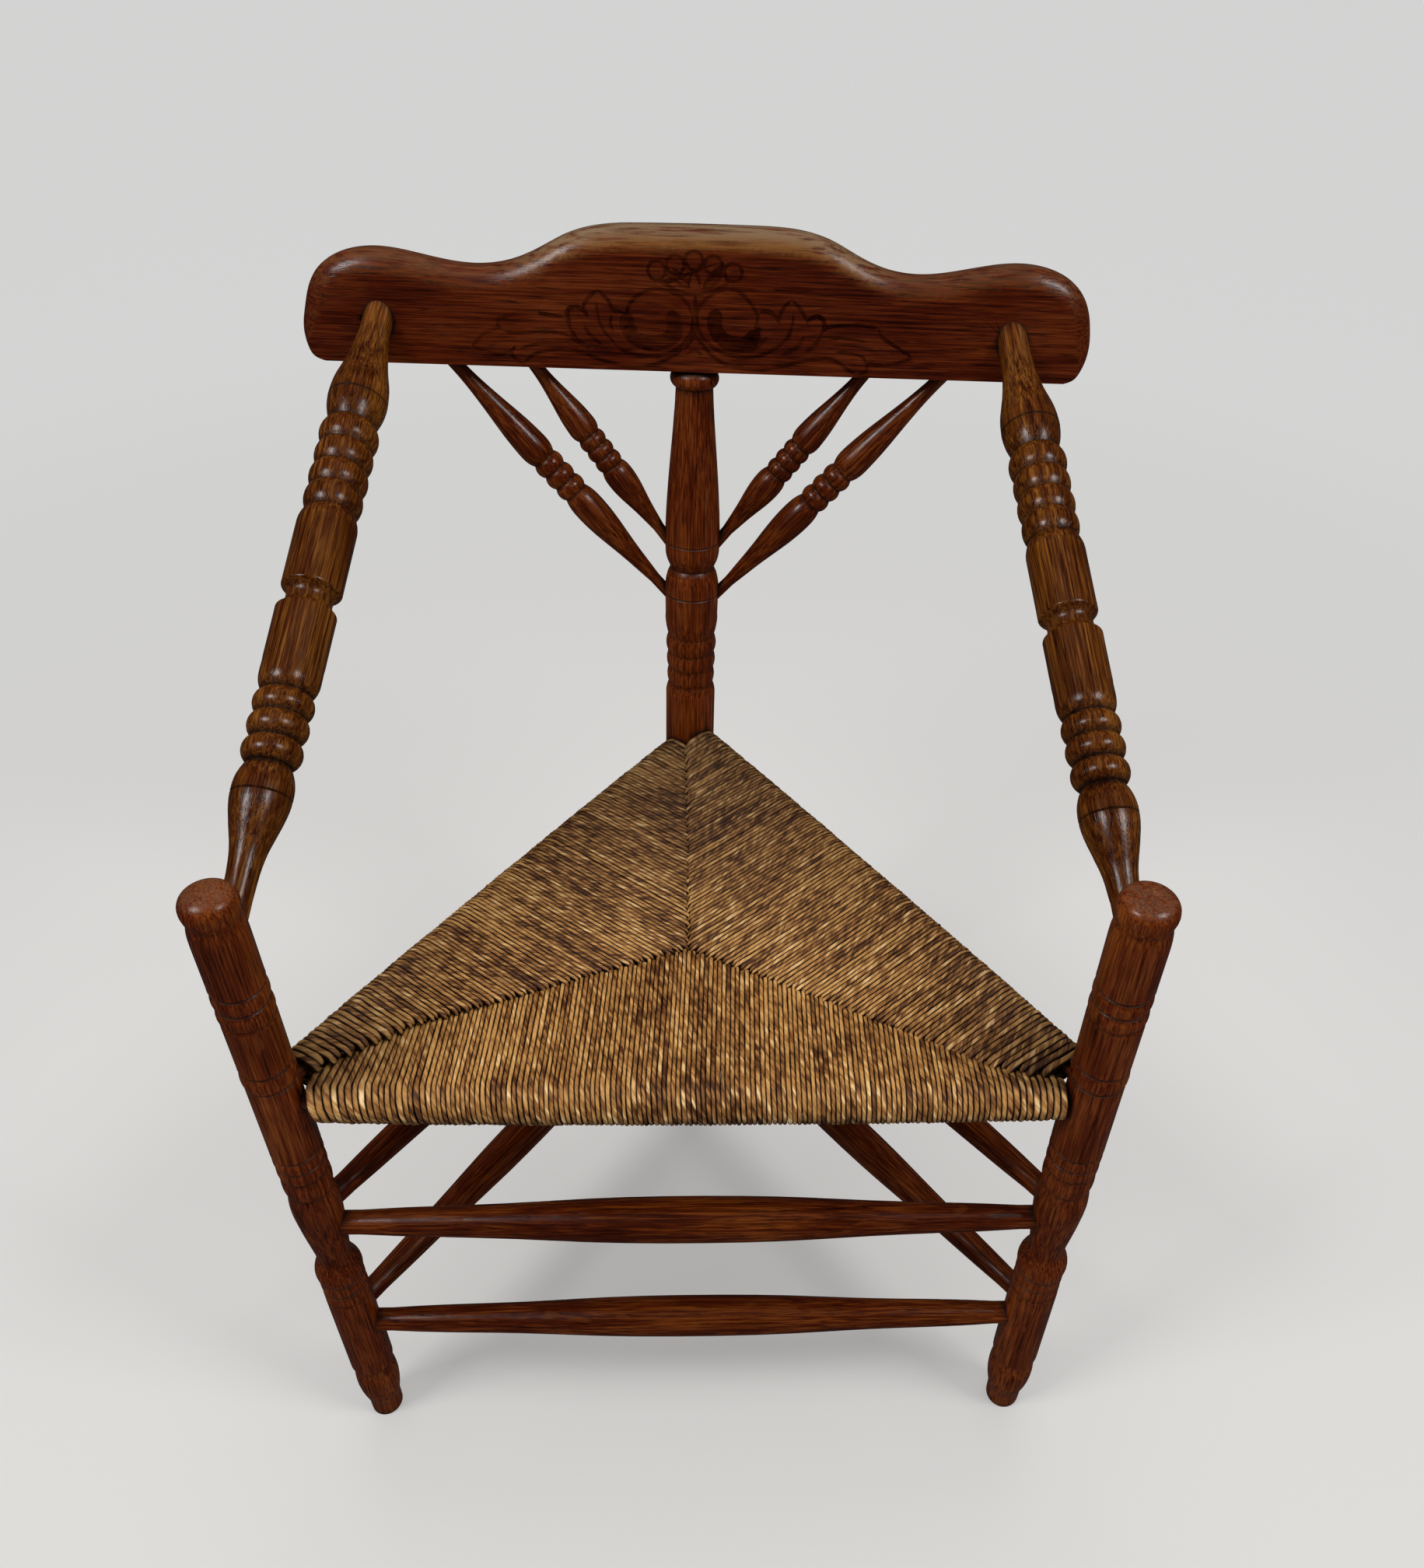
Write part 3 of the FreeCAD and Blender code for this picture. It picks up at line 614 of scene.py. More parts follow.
def upright_bar(sides: int, radius: float, caps: str, cuts: int) -> bpy.types.Object:
    """Model an upright bar from z = 0 to z = 1.

    Args:
        sides: How many sides it has.
        radius: Its radius.
        caps: How its ends are filled.
        cuts: How many evenly spaced rings divide its long edges.

    Returns:
        The bar.
    """
    deselect_all()
    bpy.ops.mesh.primitive_cylinder_add(
        vertices=sides, radius=radius, depth=1.0, location=(0, 0, 0.5), end_fill_type=caps
    )
    bar = bpy.context.object
    bpy.ops.object.transform_apply(location=True, rotation=True, scale=True)
    bpy.ops.object.mode_set(mode="EDIT")
    bpy.ops.mesh.select_mode(type="EDGE")
    bpy.ops.mesh.select_all(action="DESELECT")
    bpy.ops.object.mode_set(mode="OBJECT")
    for edge in bar.data.edges:
        first, second = (bar.data.vertices[number].co for number in edge.vertices)
        edge.select = abs(first.z - second.z) > 0.5
    bpy.ops.object.mode_set(mode="EDIT")
    bpy.ops.mesh.subdivide(number_cuts=cuts)
    bpy.ops.object.mode_set(mode="OBJECT")
    return bar


def joined(things: Sequence[bpy.types.Object], name: str) -> bpy.types.Object:
    """Join meshes into one object.

    Args:
        things: The objects.
        name: The name of the result.

    Returns:
        The joined object.
    """
    deselect_all()
    for thing in things:
        thing.select_set(True)
    bpy.context.view_layer.objects.active = things[0]
    bpy.ops.object.join()
    result = bpy.context.object
    result.name = name
    result.data.name = name
    return result


# The seat


@dataclass
class RushStrand:
    """One twisted strand: a straight length that is then laid along its path."""

    sides: int = 10
    cuts: int = 46
    ply_depth: float = 0.07
    ply_turns: float = 46.0
    slow_swell: tuple[float, float] = (0.05, 95.0)
    quick_swell: tuple[float, float] = (0.07, 210.0)
    look_ahead: float = 1.5 * MM
    tip_girth: float = 0.35
    tip_reach: float = 0.8

    def straight(self) -> bpy.types.Object:
        """Model the straight strand: a capped round bar, one metre by one across."""
        strand = upright_bar(self.sides, 0.5, "TRIFAN", self.cuts)
        self._map_straight(strand)
        return strand

    def laid(
        self,
        straight: bpy.types.Object,
        path: np.ndarray,
        across: Vector,
        width: float,
        height: float,
        seed: float,
        lift: float,
    ) -> bpy.types.Object:
        """Copy the straight strand and lay the copy along a path.

        Args:
            straight: The straight strand.
            path: Points of the path, in order.
            across: The direction that stays level across the strand.
            width: The strand's width along its rail.
            height: The strand's thickness.
            seed: Sets the strand's own unevenness and tone.
            lift: Makes the tone lighter.

        Returns:
            The laid strand.
        """
        strand = copied(straight)
        local = points_of(straight)
        reach = reach_along(path)
        total = reach[-1]
        here = local[:, 2] * total
        centre = places_on(path, reach, here)
        forward = places_on(path, reach, here + self.look_ahead)
        forward -= places_on(path, reach, here - self.look_ahead)
        forward /= np.linalg.norm(forward, axis=1)[:, None]
        level = np.array(across, float)
        side = level[None, :] - forward * (forward @ level)[:, None]
        side /= np.linalg.norm(side, axis=1)[:, None]
        out = np.cross(forward, side)
        angle = np.arctan2(local[:, 1], local[:, 0])
        twist = angle - here * 2.0 * math.pi * self.ply_turns
        ply = 1.0 + self.ply_depth * np.cos(2.0 * twist + seed)
        (slow, slow_rate), (quick, quick_rate) = self.slow_swell, self.quick_swell
        uneven = 1.0 + quick * np.sin(here * quick_rate + seed * 9.0)
        uneven = uneven + slow * np.sin(here * slow_rate + seed * 4.0)
        tip = np.clip(np.minimum(here, total - here) / (self.tip_reach * width), 0.0, 1.0)
        taper = self.tip_girth + (1.0 - self.tip_girth) * np.sqrt(1.0 - (1.0 - tip) ** 2)
        girth = (ply * uneven * taper)[:, None]
        laid = centre + side * (local[:, :1] * width) * girth
        put_points(strand, laid + out * (local[:, 1:2] * height) * girth)
        self._map(strand.data, total, seed, lift)
        return strand

    @staticmethod
    def _map_straight(strand: bpy.types.Object) -> None:
        """Write how far round and along the straight strand each corner is.

        Args:
            strand: The straight strand.
        """
        mesh = strand.data
        local = points_of(strand)
        around = np.arctan2(local[:, 1], local[:, 0]) / (2.0 * math.pi) + 0.5
        table = np.zeros((len(mesh.loops), 2), np.float32)
        for face in mesh.polygons:
            corners = [mesh.loops[number].vertex_index for number in face.loop_indices]
            turns = [around[corner] for corner in corners]
            crosses = max(turns) - min(turns) > 0.5
            for number, corner, turn in zip(face.loop_indices, corners, turns):
                table[number] = (turn + 1.0 if crosses and turn < 0.5 else turn, local[corner, 2])
        layer = mesh.uv_layers[0]
        layer.data.foreach_set("uv", table.ravel())
        layer.name = RushWeaver.STRAND_MAP
        mesh.attributes.new(RushWeaver.TONE, "FLOAT", "POINT")

    @staticmethod
    def _map(mesh: bpy.types.Mesh, total: float, seed: float, lift: float) -> None:
        """Stretch the strand map to the laid length and give the strand its tone.

        Args:
            mesh: The laid strand's mesh.
            total: Its length.
            seed: Moves the pattern and sets the tone.
            lift: Makes the tone lighter.
        """
        table = np.empty(len(mesh.loops) * 2, np.float32)
        layer = mesh.uv_layers[0]
        layer.data.foreach_get("uv", table)
        table[1::2] = table[1::2] * total + seed * 0.37
        layer.data.foreach_set("uv", table)
        value = (math.sin(seed * 78.233) * 43758.5453) % 1.0 * 0.8 + lift
        tones = np.full(len(mesh.vertices), value, np.float32)
        mesh.attributes[RushWeaver.TONE].data.foreach_set("value", tones)


@dataclass
class RushWeaver:
    """The rush seat: three fans of strands that meet on mitred seams."""

    STRAND_MAP = "strand"
    TONE = "tone"

    back_from_front: Point = (-13.6 * MM, 398.1 * MM, 0.0)
    front_rail_height: float = 432.5 * MM
    side_rail_front_height: float = 444.5 * MM
    side_rail_back_height: float = 429.5 * MM
    side_rail_stagger: float = 4.5 * MM
    front_rolls: tuple[float, float] = (13.5 * MM, 17.0 * MM)
    side_rolls: tuple[float, float] = (12.5 * MM, 14.8 * MM)
    centre: tuple[float, float] = (-6.7 * MM, 134.5 * MM)
    centre_height: float = 424.5 * MM
    centre_half_thick: float = 10.0 * MM
    left_bend: tuple[float, float] = (-193.0 * MM, 54.0 * MM)
    right_bend: tuple[float, float] = (206.0 * MM, 16.0 * MM)
    post_clearance: float = 19.5 * MM
    corner_width: float = 5.5 * MM
    middle_width: float = 3.35 * MM
    corner_reach: float = 85.0 * MM
    proud: float = 0.7 * MM
    crossings: tuple[float, float] = (0.35, 1.15)
    path_step: float = 5.0 * MM
    nose_steps: int = 12
    corner_lean: float = 0.20
    lean_reach: float = 90.0 * MM
    knee: float = 0.35
    never_met: float = 9.0
    seed: int = 11
    strand: RushStrand = field(default_factory=RushStrand)

    def __post_init__(self) -> None:
        """Find the posts' axes in plan."""
        left = middle_of("post_front_left")
        right = middle_of("post_front_right")
        between = between_posts()
        self.origin = Vector((between.x, between.y, 0.0))
        self.posts = {
            "left": Vector((left.x, left.y, 0.0)),
            "right": Vector((right.x, right.y, 0.0)),
            "back": self.origin + Vector(self.back_from_front),
        }
        self.middle = self.origin + Vector((*self.centre, 0.0))
        self.seams = {
            "left": [self.middle, self.origin + Vector((*self.left_bend, 0.0)), self.posts["left"]],
            "right": [self.middle, self.origin + Vector((*self.right_bend, 0.0)), self.posts["right"]],
            "back": [self.middle, self.posts["back"]],
        }

    def rail(self, quarter: Quarter) -> tuple[Vector, Vector]:
        """Give a rail's axis.

        Args:
            quarter: The third of the seat that hangs on the rail.

        Returns:
            Its two ends, in the order that has the seat on the left.
        """
        left, right, back = self.posts["left"], self.posts["right"], self.posts["back"]
        front_height = Vector((0, 0, self.side_rail_front_height))
        back_height = Vector((0, 0, self.side_rail_back_height))
        stagger = Vector((0, 0, self.side_rail_stagger))
        if quarter is Quarter.FRONT:
            height = Vector((0, 0, self.front_rail_height))
            return left + height, right + height
        if quarter is Quarter.LEFT:
            return back + back_height - stagger, left + front_height
        return right + front_height, back + back_height + stagger

    def places(self, length: float, dice: random.Random) -> list[tuple[float, float]]:
        """Share out a rail's length among the strands.

        Args:
            length: The rail's length between the posts' axes.
            dice: The source of unevenness.

        Returns:
            Each strand's place along the rail and its width.
        """
        first = self.post_clearance
        last = length - self.post_clearance
        widths = []
        here = first
        while here < last:
            near = min(here - first, last - here)
            share = min(1.0, near / self.corner_reach)
            width = self.corner_width + (self.middle_width - self.corner_width) * share ** 0.7
            width *= dice.uniform(0.88, 1.12)
            widths.append(width)
            here += width
        fit = (last - first) / sum(widths)
        result = []
        here = first
        for width in widths:
            result.append((here + width * fit / 2, width * fit))
            here += width * fit
        return result

    def _meeting(self, foot: Vector, heading: Vector, seam: Sequence[Vector]) -> float:
        """Find where a strand meets a seam.

        Args:
            foot: The strand's place on the rail, in plan.
            heading: The strand's direction, in plan.
            seam: The corners of the seam.

        Returns:
            How far along the heading the seam is met, or a large number.
        """
        best = self.never_met
        for first, second in zip(seam, seam[1:]):
            edge = second - first
            across = heading.x * edge.y - heading.y * edge.x
            if abs(across) < 1e-9:
                continue
            gap = first - foot
            reach = (gap.x * edge.y - gap.y * edge.x) / across
            share = (gap.x * heading.y - gap.y * heading.x) / across
            if reach > 0.0 and -0.001 <= share <= 1.001:
                best = min(best, reach)
        return best

    def path(
        self, quarter: Quarter, place: float, thick: float, nose_lean: float, cross: float
    ) -> np.ndarray:
        """Give the path of one strand, from the seam over the rail and back below.

        Args:
            quarter: The third of the seat.
            place: The strand's place along the rail.
            thick: The strand's thickness.
            nose_lean: How far the strand creeps along the rail as it rounds it.
            cross: How far the strand's tip crosses the seam.

        Returns:
            The points of the path.
        """
        start, finish = self.rail(quarter)
        length = (finish - start).length
        axis = (finish - start).normalized()
        level = Vector((axis.x, axis.y, 0.0)).normalized()
        inward = Vector((-level.y, level.x, 0.0))
        foot = start + axis * place
        share = place / length
        ends, belly = self.front_rolls if quarter is Quarter.FRONT else self.side_rolls
        roll = ends + (belly - ends) * math.sin(math.pi * min(1.0, max(0.0, share))) ** 0.6
        heading = (inward + level * self._lean(place, length)).normalized()
        flat = Vector((foot.x, foot.y, 0.0))
        reach = min(self._meeting(flat, heading, seam) for seam in self._own_seams(quarter))
        full = (self.middle - flat).dot(inward)
        top = self.centre_height + self.centre_half_thick - foot.z
        low = self.centre_height - self.centre_half_thick - foot.z
        over = (roll, 0.55 * roll + 0.45 * top + 1.0 * MM, top)
        under = (-roll, -0.55 * roll + 0.45 * low - 1.0 * MM, low)
        sink = thick / 2 - self.proud
        stop = max(reach + cross, 1.0 * MM)
        edge_top = self._curve(over, full, stop) - sink
        edge_low = self._curve(under, full, stop) + sink
        points = [
            foot + heading * stop + Vector((0, 0, edge_top - 1.1 * thick)),
            foot + heading * (stop - 0.40 * thick) + Vector((0, 0, edge_top - 0.35 * thick)),
        ]
        count = max(2, int(reach / self.path_step))
        for number in range(count):
            inner = (stop - 1.0 * thick) * (1.0 - number / count)
            rise = self._curve(over, full, inner) - sink
            points.append(foot + heading * inner + Vector((0, 0, rise)))
        for number in range(self.nose_steps + 1):
            share = number / self.nose_steps
            angle = math.pi * (0.5 + share)
            spoke = inward * math.cos(angle) + Vector((0, 0, math.sin(angle)))
            points.append(foot + level * (nose_lean * share) + spoke * (roll - sink))
        below = foot + level * nose_lean
        for number in range(1, count + 1):
            inner = (stop - 1.0 * thick) * number / count
            rise = self._curve(under, full, inner) + sink
            points.append(below + heading * inner + Vector((0, 0, rise)))
        points.append(below + heading * stop + Vector((0, 0, edge_low + 0.6 * thick)))
        return np.array(points)

    def _lean(self, place: float, length: float) -> float:
        """Give how much a strand leans away from the post near a corner."""
        near_start = max(0.0, 1.0 - place / self.lean_reach)
        near_end = max(0.0, 1.0 - (length - place) / self.lean_reach)
        return self.corner_lean * (near_start - near_end)

    def _own_seams(self, quarter: Quarter) -> list[list[Vector]]:
        """Choose the two seams that bound a third of the seat.

        Args:
            quarter: The third of the seat.

        Returns:
            The seams.
        """
        names = {
            Quarter.FRONT: ("left", "right"),
            Quarter.LEFT: ("back", "left"),
            Quarter.RIGHT: ("right", "back"),
        }[quarter]
        return [self.seams[name] for name in names]

    def _curve(self, heights: tuple[float, float, float], full: float, inner: float) -> float:
        """Give the height of the seat's face on a curve through three heights.

        Args:
            heights: Above the rail's axis, at the knee, and in the seat's middle.
            full: The distance from the rail to the seat's middle.
            inner: The distance inside the rail.

        Returns:
            The height above the rail's axis.
        """
        near, knee = 0.0, self.knee * full
        first = heights[0] * (inner - knee) * (inner - full) / ((near - knee) * (near - full))
        second = heights[1] * (inner - near) * (inner - full) / ((knee - near) * (knee - full))
        third = heights[2] * (inner - near) * (inner - knee) / ((full - near) * (full - knee))
        return first + second + third

    def build(self) -> list[bpy.types.Object]:
        """Weave the three thirds.

        Returns:
            One piece for each third.
        """
        dice = random.Random(self.seed)
        rush = RushFinish("rush").make(self.origin.y)
        straight = self.strand.straight()
        pieces = [self._third(quarter, straight, rush, dice) for quarter in Quarter]
        bpy.data.objects.remove(straight)
        return pieces

    def _third(
        self,
        quarter: Quarter,
        straight: bpy.types.Object,
        rush: bpy.types.Material,
        dice: random.Random,
    ) -> bpy.types.Object:
        """Lay all strands of one third and join them.

        Args:
            quarter: The third of the seat.
            straight: The straight strand.
            rush: The material.
            dice: The source of unevenness.

        Returns:
            The third as one piece.
        """
        start, finish = self.rail(quarter)
        length = (finish - start).length
        across = (finish - start).normalized()
        strands = []
        for number, (place, width) in enumerate(self.places(length, dice)):
            thick = width * 0.92 * dice.uniform(0.92, 1.08)
            creep = self._creep(quarter, place, length, width)
            path = self.path(quarter, place, thick, creep, thick * self.crossings[number % 2])
            path[:, 2] += dice.uniform(-0.25, 0.35) * MM
            seed = dice.uniform(1.0, 40.0)
            lift = 0.30 if quarter is Quarter.FRONT else 0.08
            strands.append(self.strand.laid(straight, path, across, width * 1.02, thick, seed, lift))
        third = joined(strands, "rush_third_" + quarter.value)
        bpy.ops.object.shade_smooth()
        third.data.materials.clear()
        third.data.materials.append(rush)
        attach(third, ROOT)
        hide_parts("rush_" + quarter.value)
        LOG.info("%s: %d strands, %d faces", third.name, len(strands), len(third.data.polygons))
        return third

    @staticmethod
    def _creep(quarter: Quarter, place: float, length: float, width: float) -> float:
        """Give how far a strand creeps along the rail as it rounds it."""
        if quarter is not Quarter.FRONT:
            return 0.4 * width
        return width * (1.9 - 1.9 * place / length)


# The frame of the chair


@dataclass
class OakFrame:
    """The turned and sawn oak pieces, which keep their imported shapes."""

    post: OakFinish = OakFinish("post_oak", sheen_and_wear=0.20)
    arm: OakFinish = OakFinish(
        "arm_oak",
        dark=(0.0220, 0.0030, 0.0003),
        middle=(0.0660, 0.0165, 0.0016),
        light=(0.1700, 0.0600, 0.0075),
        streak=0.9,
        pores=0.94,
    )
    bar: OakFinish = OakFinish(
        "bar_oak",
        middle=(0.0580, 0.0080, 0.0008),
        light=(0.1500, 0.0350, 0.0040),
        streak=0.9,
    )
    hidden: OakFinish = OakFinish("hidden_oak", roughness=0.60)

    def build(self) -> None:
        """Dress every oak node."""
        for number, name in enumerate(sorted(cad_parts)):
            finish = self._finish_of(name)
            if finish is None:
                continue
            material = finish.make(name, middle_of(name), long_axis(name), 1.0 + number)
            dress_node(name, material)
            LOG.info("%s dressed in %s", name, finish.name)

    def _finish_of(self, name: str) -> OakFinish | None:
        """Choose the finish of a node by its name.

        Args:
            name: The node's name.

        Returns:
            The finish, or None where the node isn't one of these pieces.
        """
        if name.startswith("arm"):
            return self.arm
        if name.startswith("seat_rail"):
            return self.hidden
        if name.startswith(("spindle", "stretcher")):
            return self.bar
        if name.startswith("post"):
            return self.post
        return None


def dress_node(name: str, material: bpy.types.Material) -> None:
    """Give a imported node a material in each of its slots."""
    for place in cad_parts[name].material_slots:
        place.material = material


# The carved crest


@dataclass(frozen=True)
class Cut:
    """One stroke of the carving tool, in millimetres on the crest's face.

    Points are (along, height) from the ornament's middle and the crest's foot.
    """

    points: tuple[tuple[float, float], ...]
    width: float
    depth: float
    closed: bool = False

    def path(self, count: int) -> np.ndarray:
        """Draw a smooth line through the stroke's points.

        Args:
            count: How many points are wanted.

        Returns:
            Evenly spaced points on the line.
        """
        knots = np.array(self.points, float)
        if self.closed:
            knots = np.vstack([knots, knots[:1]])
        if len(knots) == 2:
            knots = np.vstack([knots[0], knots.mean(axis=0), knots[1]])
        if self.closed:
            before, after = knots[-2], knots[1]
        else:
            before, after = 2 * knots[0] - knots[1], 2 * knots[-1] - knots[-2]
        padded = np.vstack([before, knots, after])
        dense = []
        for first, second, third, fourth in zip(padded, padded[1:], padded[2:], padded[3:]):
            for share in np.linspace(0.0, 1.0, 12, endpoint=False):
                dense.append(
                    0.5 * (
                        2 * second
                        + (third - first) * share
                        + (2 * first - 5 * second + 4 * third - fourth) * share ** 2
                        + (3 * second - first - 3 * third + fourth) * share ** 3
                    )
                )
        dense = np.array(dense + [knots[-1]])
        reach = reach_along(dense)
        return places_on(dense, reach, np.linspace(0.0, reach[-1], count))


def stroke(width: float, depth: float, *values: float) -> Cut:
    """Give an open stroke from its points, written as along, height, along, height."""
    return Cut(tuple(zip(values[::2], values[1::2])), width, depth)


def ring(along: float, height: float, radius: float) -> Cut:
    """Give a round stroke about a middle.

    Args:
        along: The middle's place along the crest.
        height: The middle's height above the crest's foot.
        radius: The ring's radius.

    Returns:
        The stroke.
    """
    angles = [math.radians(45.0 * number) for number in range(8)]
    turns = [(radius * math.cos(angle), radius * math.sin(angle)) for angle in angles]
    return Cut(tuple((along + aside, height + up) for aside, up in turns), 1.7, 1.1, True)


def chips(along: float, height: float, first: float, last: float, count: int) -> list[Cut]:
    """Give short strokes that stand like rays below a disc.

    Args:
        along: The disc's place along the crest.
        height: The disc's height above the crest's foot.
        first: The first ray's angle in degrees.
        last: The last ray's angle in degrees.
        count: How many rays there are.

    Returns:
        The strokes.
    """
    result = []
    for number in range(count):
        angle = math.radians(first + (last - first) * number / (count - 1))
        start = (along + 14.0 * math.cos(angle), height + 13.0 * math.sin(angle))
        finish = (along + 22.0 * math.cos(angle), height + 20.0 * math.sin(angle))
        result.append(Cut((start, finish), 2.4, 2.7))
    return result


# Each open stroke: its width and depth, then along and height of every point, in millimetres
STROKES = (
    # Palmette
    (1.9, 1.1, -17, 79.5, -10.5, 75, -6, 69.5, -3.5, 65.5),
    (1.9, 1.1, -21, 74, -14, 70.5, -8, 67, -3.5, 65.5),
    (3, 1.4, -14, 76, -8, 71),
    (1.9, 1.1, -4, 66, -4.5, 71, -0.5, 77.5, 3, 71, 3.5, 66),
    (1.9, 1.1, 6, 66.5, 9.5, 72.5, 14.5, 78, 19, 82),
    (1.9, 1.1, 4.5, 65.5, 12, 67.5, 17, 72, 20.5, 79),
    (3, 1.4, 10, 70, 15.5, 76.5),
    (1.6, 0.9, -27, 70, -12, 63.5, -0.5, 61.5, 12, 64, 26, 71),
    (2.2, 1.4, 0, 61, 0.5, 46, -0.5, 31.5),
    (1.9, 1.1, -8, 21.5, -5.5, 25, -0.5, 31.5, 4.5, 26.5, 10.5, 19.5),
    (1.6, 0.9, -7, 18, -1, 21.5, 6, 17.5),
    # Left scroll
    (1.9, 1.1, -51.5, 42, -48, 52.5, -41.5, 59.5, -30.5, 64, -17, 62.5, -6, 55.5, -2, 46),
    (1.9, 1.1, -2, 46, -2.5, 36, -9, 26, -20.5, 18.5, -36.5, 15.5, -51.5, 18.5, -60.5, 24.5),
    (7.5, 1.8, -50, 47, -49.5, 36, -43.5, 28, -32, 25.5, -20, 29, -15, 38, -18, 50),
    (1.9, 1.1, -54.5, 44, -53.5, 35.5, -49, 28, -40.5, 22.5, -30.5, 21.5, -20, 24, -12.5, 29.5,
     -9.5, 38.5),
    # Right scroll
    (1.9, 1.1, 1.5, 46, 4.5, 54.5, 14.5, 63, 25.5, 66.5, 34, 63, 41.5, 55.5, 46, 47.5, 45, 40),
    (1.9, 1.1, 1.5, 46, 2.5, 36.5, 8, 28, 19.5, 20.5, 34.5, 17, 50, 19.5, 58.5, 24, 67.5, 31, 72,
     38.5),
    (7.5, 1.8, 16, 52, 14.5, 40, 20, 30.5, 31, 26.5, 41, 29.5, 46.5, 38),
    (1.9, 1.1, 10.5, 47.5, 10.5, 38, 16, 28.5, 24.5, 23, 34.5, 22, 45, 24.5, 53.5, 33),
    # Left leaves
    (1.9, 1.1, -165.5, 19.5, -155.5, 28.5, -149, 31.5, -142.5, 33.5),
    (1.9, 1.1, -142, 30.5, -145, 36.5, -142.5, 40, -131, 43.5, -116, 44.5, -96, 42),
    (1.9, 1.1, -165.5, 19.5, -155.5, 15.5, -145.5, 14, -135.5, 17),
    (1.9, 1.1, -133, 20.5, -136.5, 16, -134.5, 11, -128, 7.5),
    (1.9, 1.1, -128, 7.5, -122, 13.5, -112, 17.5, -99, 18.5, -87, 17.5, -74.5, 13.5, -61, 9.5, -46,
     8, -30.5, 10, -18, 16, -9, 22.5),
    (1.5, 0.8, -141.5, 30.5, -129.5, 30, -112, 31.5, -97, 30, -86.5, 23.5),
    (1.5, 0.8, -130.5, 18.5, -117.5, 22, -99, 23.5, -86.5, 22),
    (2.4, 1.5, -92, 32.5, -93.5, 43, -92.5, 48, -86, 49.5, -81, 47, -78.5, 42.5),
    (2.4, 1.3, -92, 34.5, -87.5, 26, -78, 20),
    (1.9, 1.1, -71, 62.5, -76.5, 57.5, -80.5, 53, -82.5, 48),
    (1.9, 1.1, -71, 62.5, -66, 58, -62.5, 53.5, -60.5, 49, -54.5, 47, -50.5, 46.5),
    (1.6, 0.9, -72, 54, -71.5, 44.5, -68.5, 35, -60, 24.5),
    (1.8, 1, -82, 37, -77.5, 30, -69, 23),
    (1.6, 0.9, -61, 45.5, -62.5, 39, -60.5, 33),
    # Right leaves
    (1.9, 1.1, 164, 21, 152.5, 27.5, 140, 35, 136, 42),
    (1.9, 1.1, 93, 34.5, 96, 39.5, 102, 42, 112, 43, 125, 43, 136, 42),
    (1.9, 1.1, 164, 21, 152, 16.5, 140.5, 15, 131.5, 15),
    (1.9, 1.1, 134, 17, 129.5, 14.5, 129, 10, 122.5, 7),
    (1.9, 1.1, 4.5, 26.5, 10.5, 19.5, 21, 12.5, 33.5, 9, 47.5, 8.5, 63, 11, 75.5, 14.5, 90.5, 17.5,
     103.5, 17.5, 112.5, 12.5, 121, 7),
    (1.6, 0.9, 105.5, 23.5, 118.5, 22.5, 126, 20, 129.5, 14.5),
    (1.5, 0.8, 98, 24.5, 108, 28.5, 123, 28, 136, 24.5),
    (1.5, 0.8, 99, 32, 111.5, 33.5, 128, 31.5),
    (2.2, 1.3, 47, 49.5, 51.5, 51, 58, 49, 62, 43),
    (1.9, 1.1, 71, 60, 65.5, 54.5, 62.5, 48, 62, 42),
    (1.9, 1.1, 71, 60, 76.5, 55, 81, 48.5, 83.5, 44),
    (2.2, 1.3, 82, 43.5, 87, 48, 92, 48.5, 95.5, 45, 94.5, 39.5),
    (1.5, 0.8, 72.5, 51, 72, 42, 68, 33),
    (2.2, 1.3, 81.5, 34, 75, 25.5, 65, 20),
    (2.4, 1.3, 93, 34, 89, 27, 82, 22.5),
)


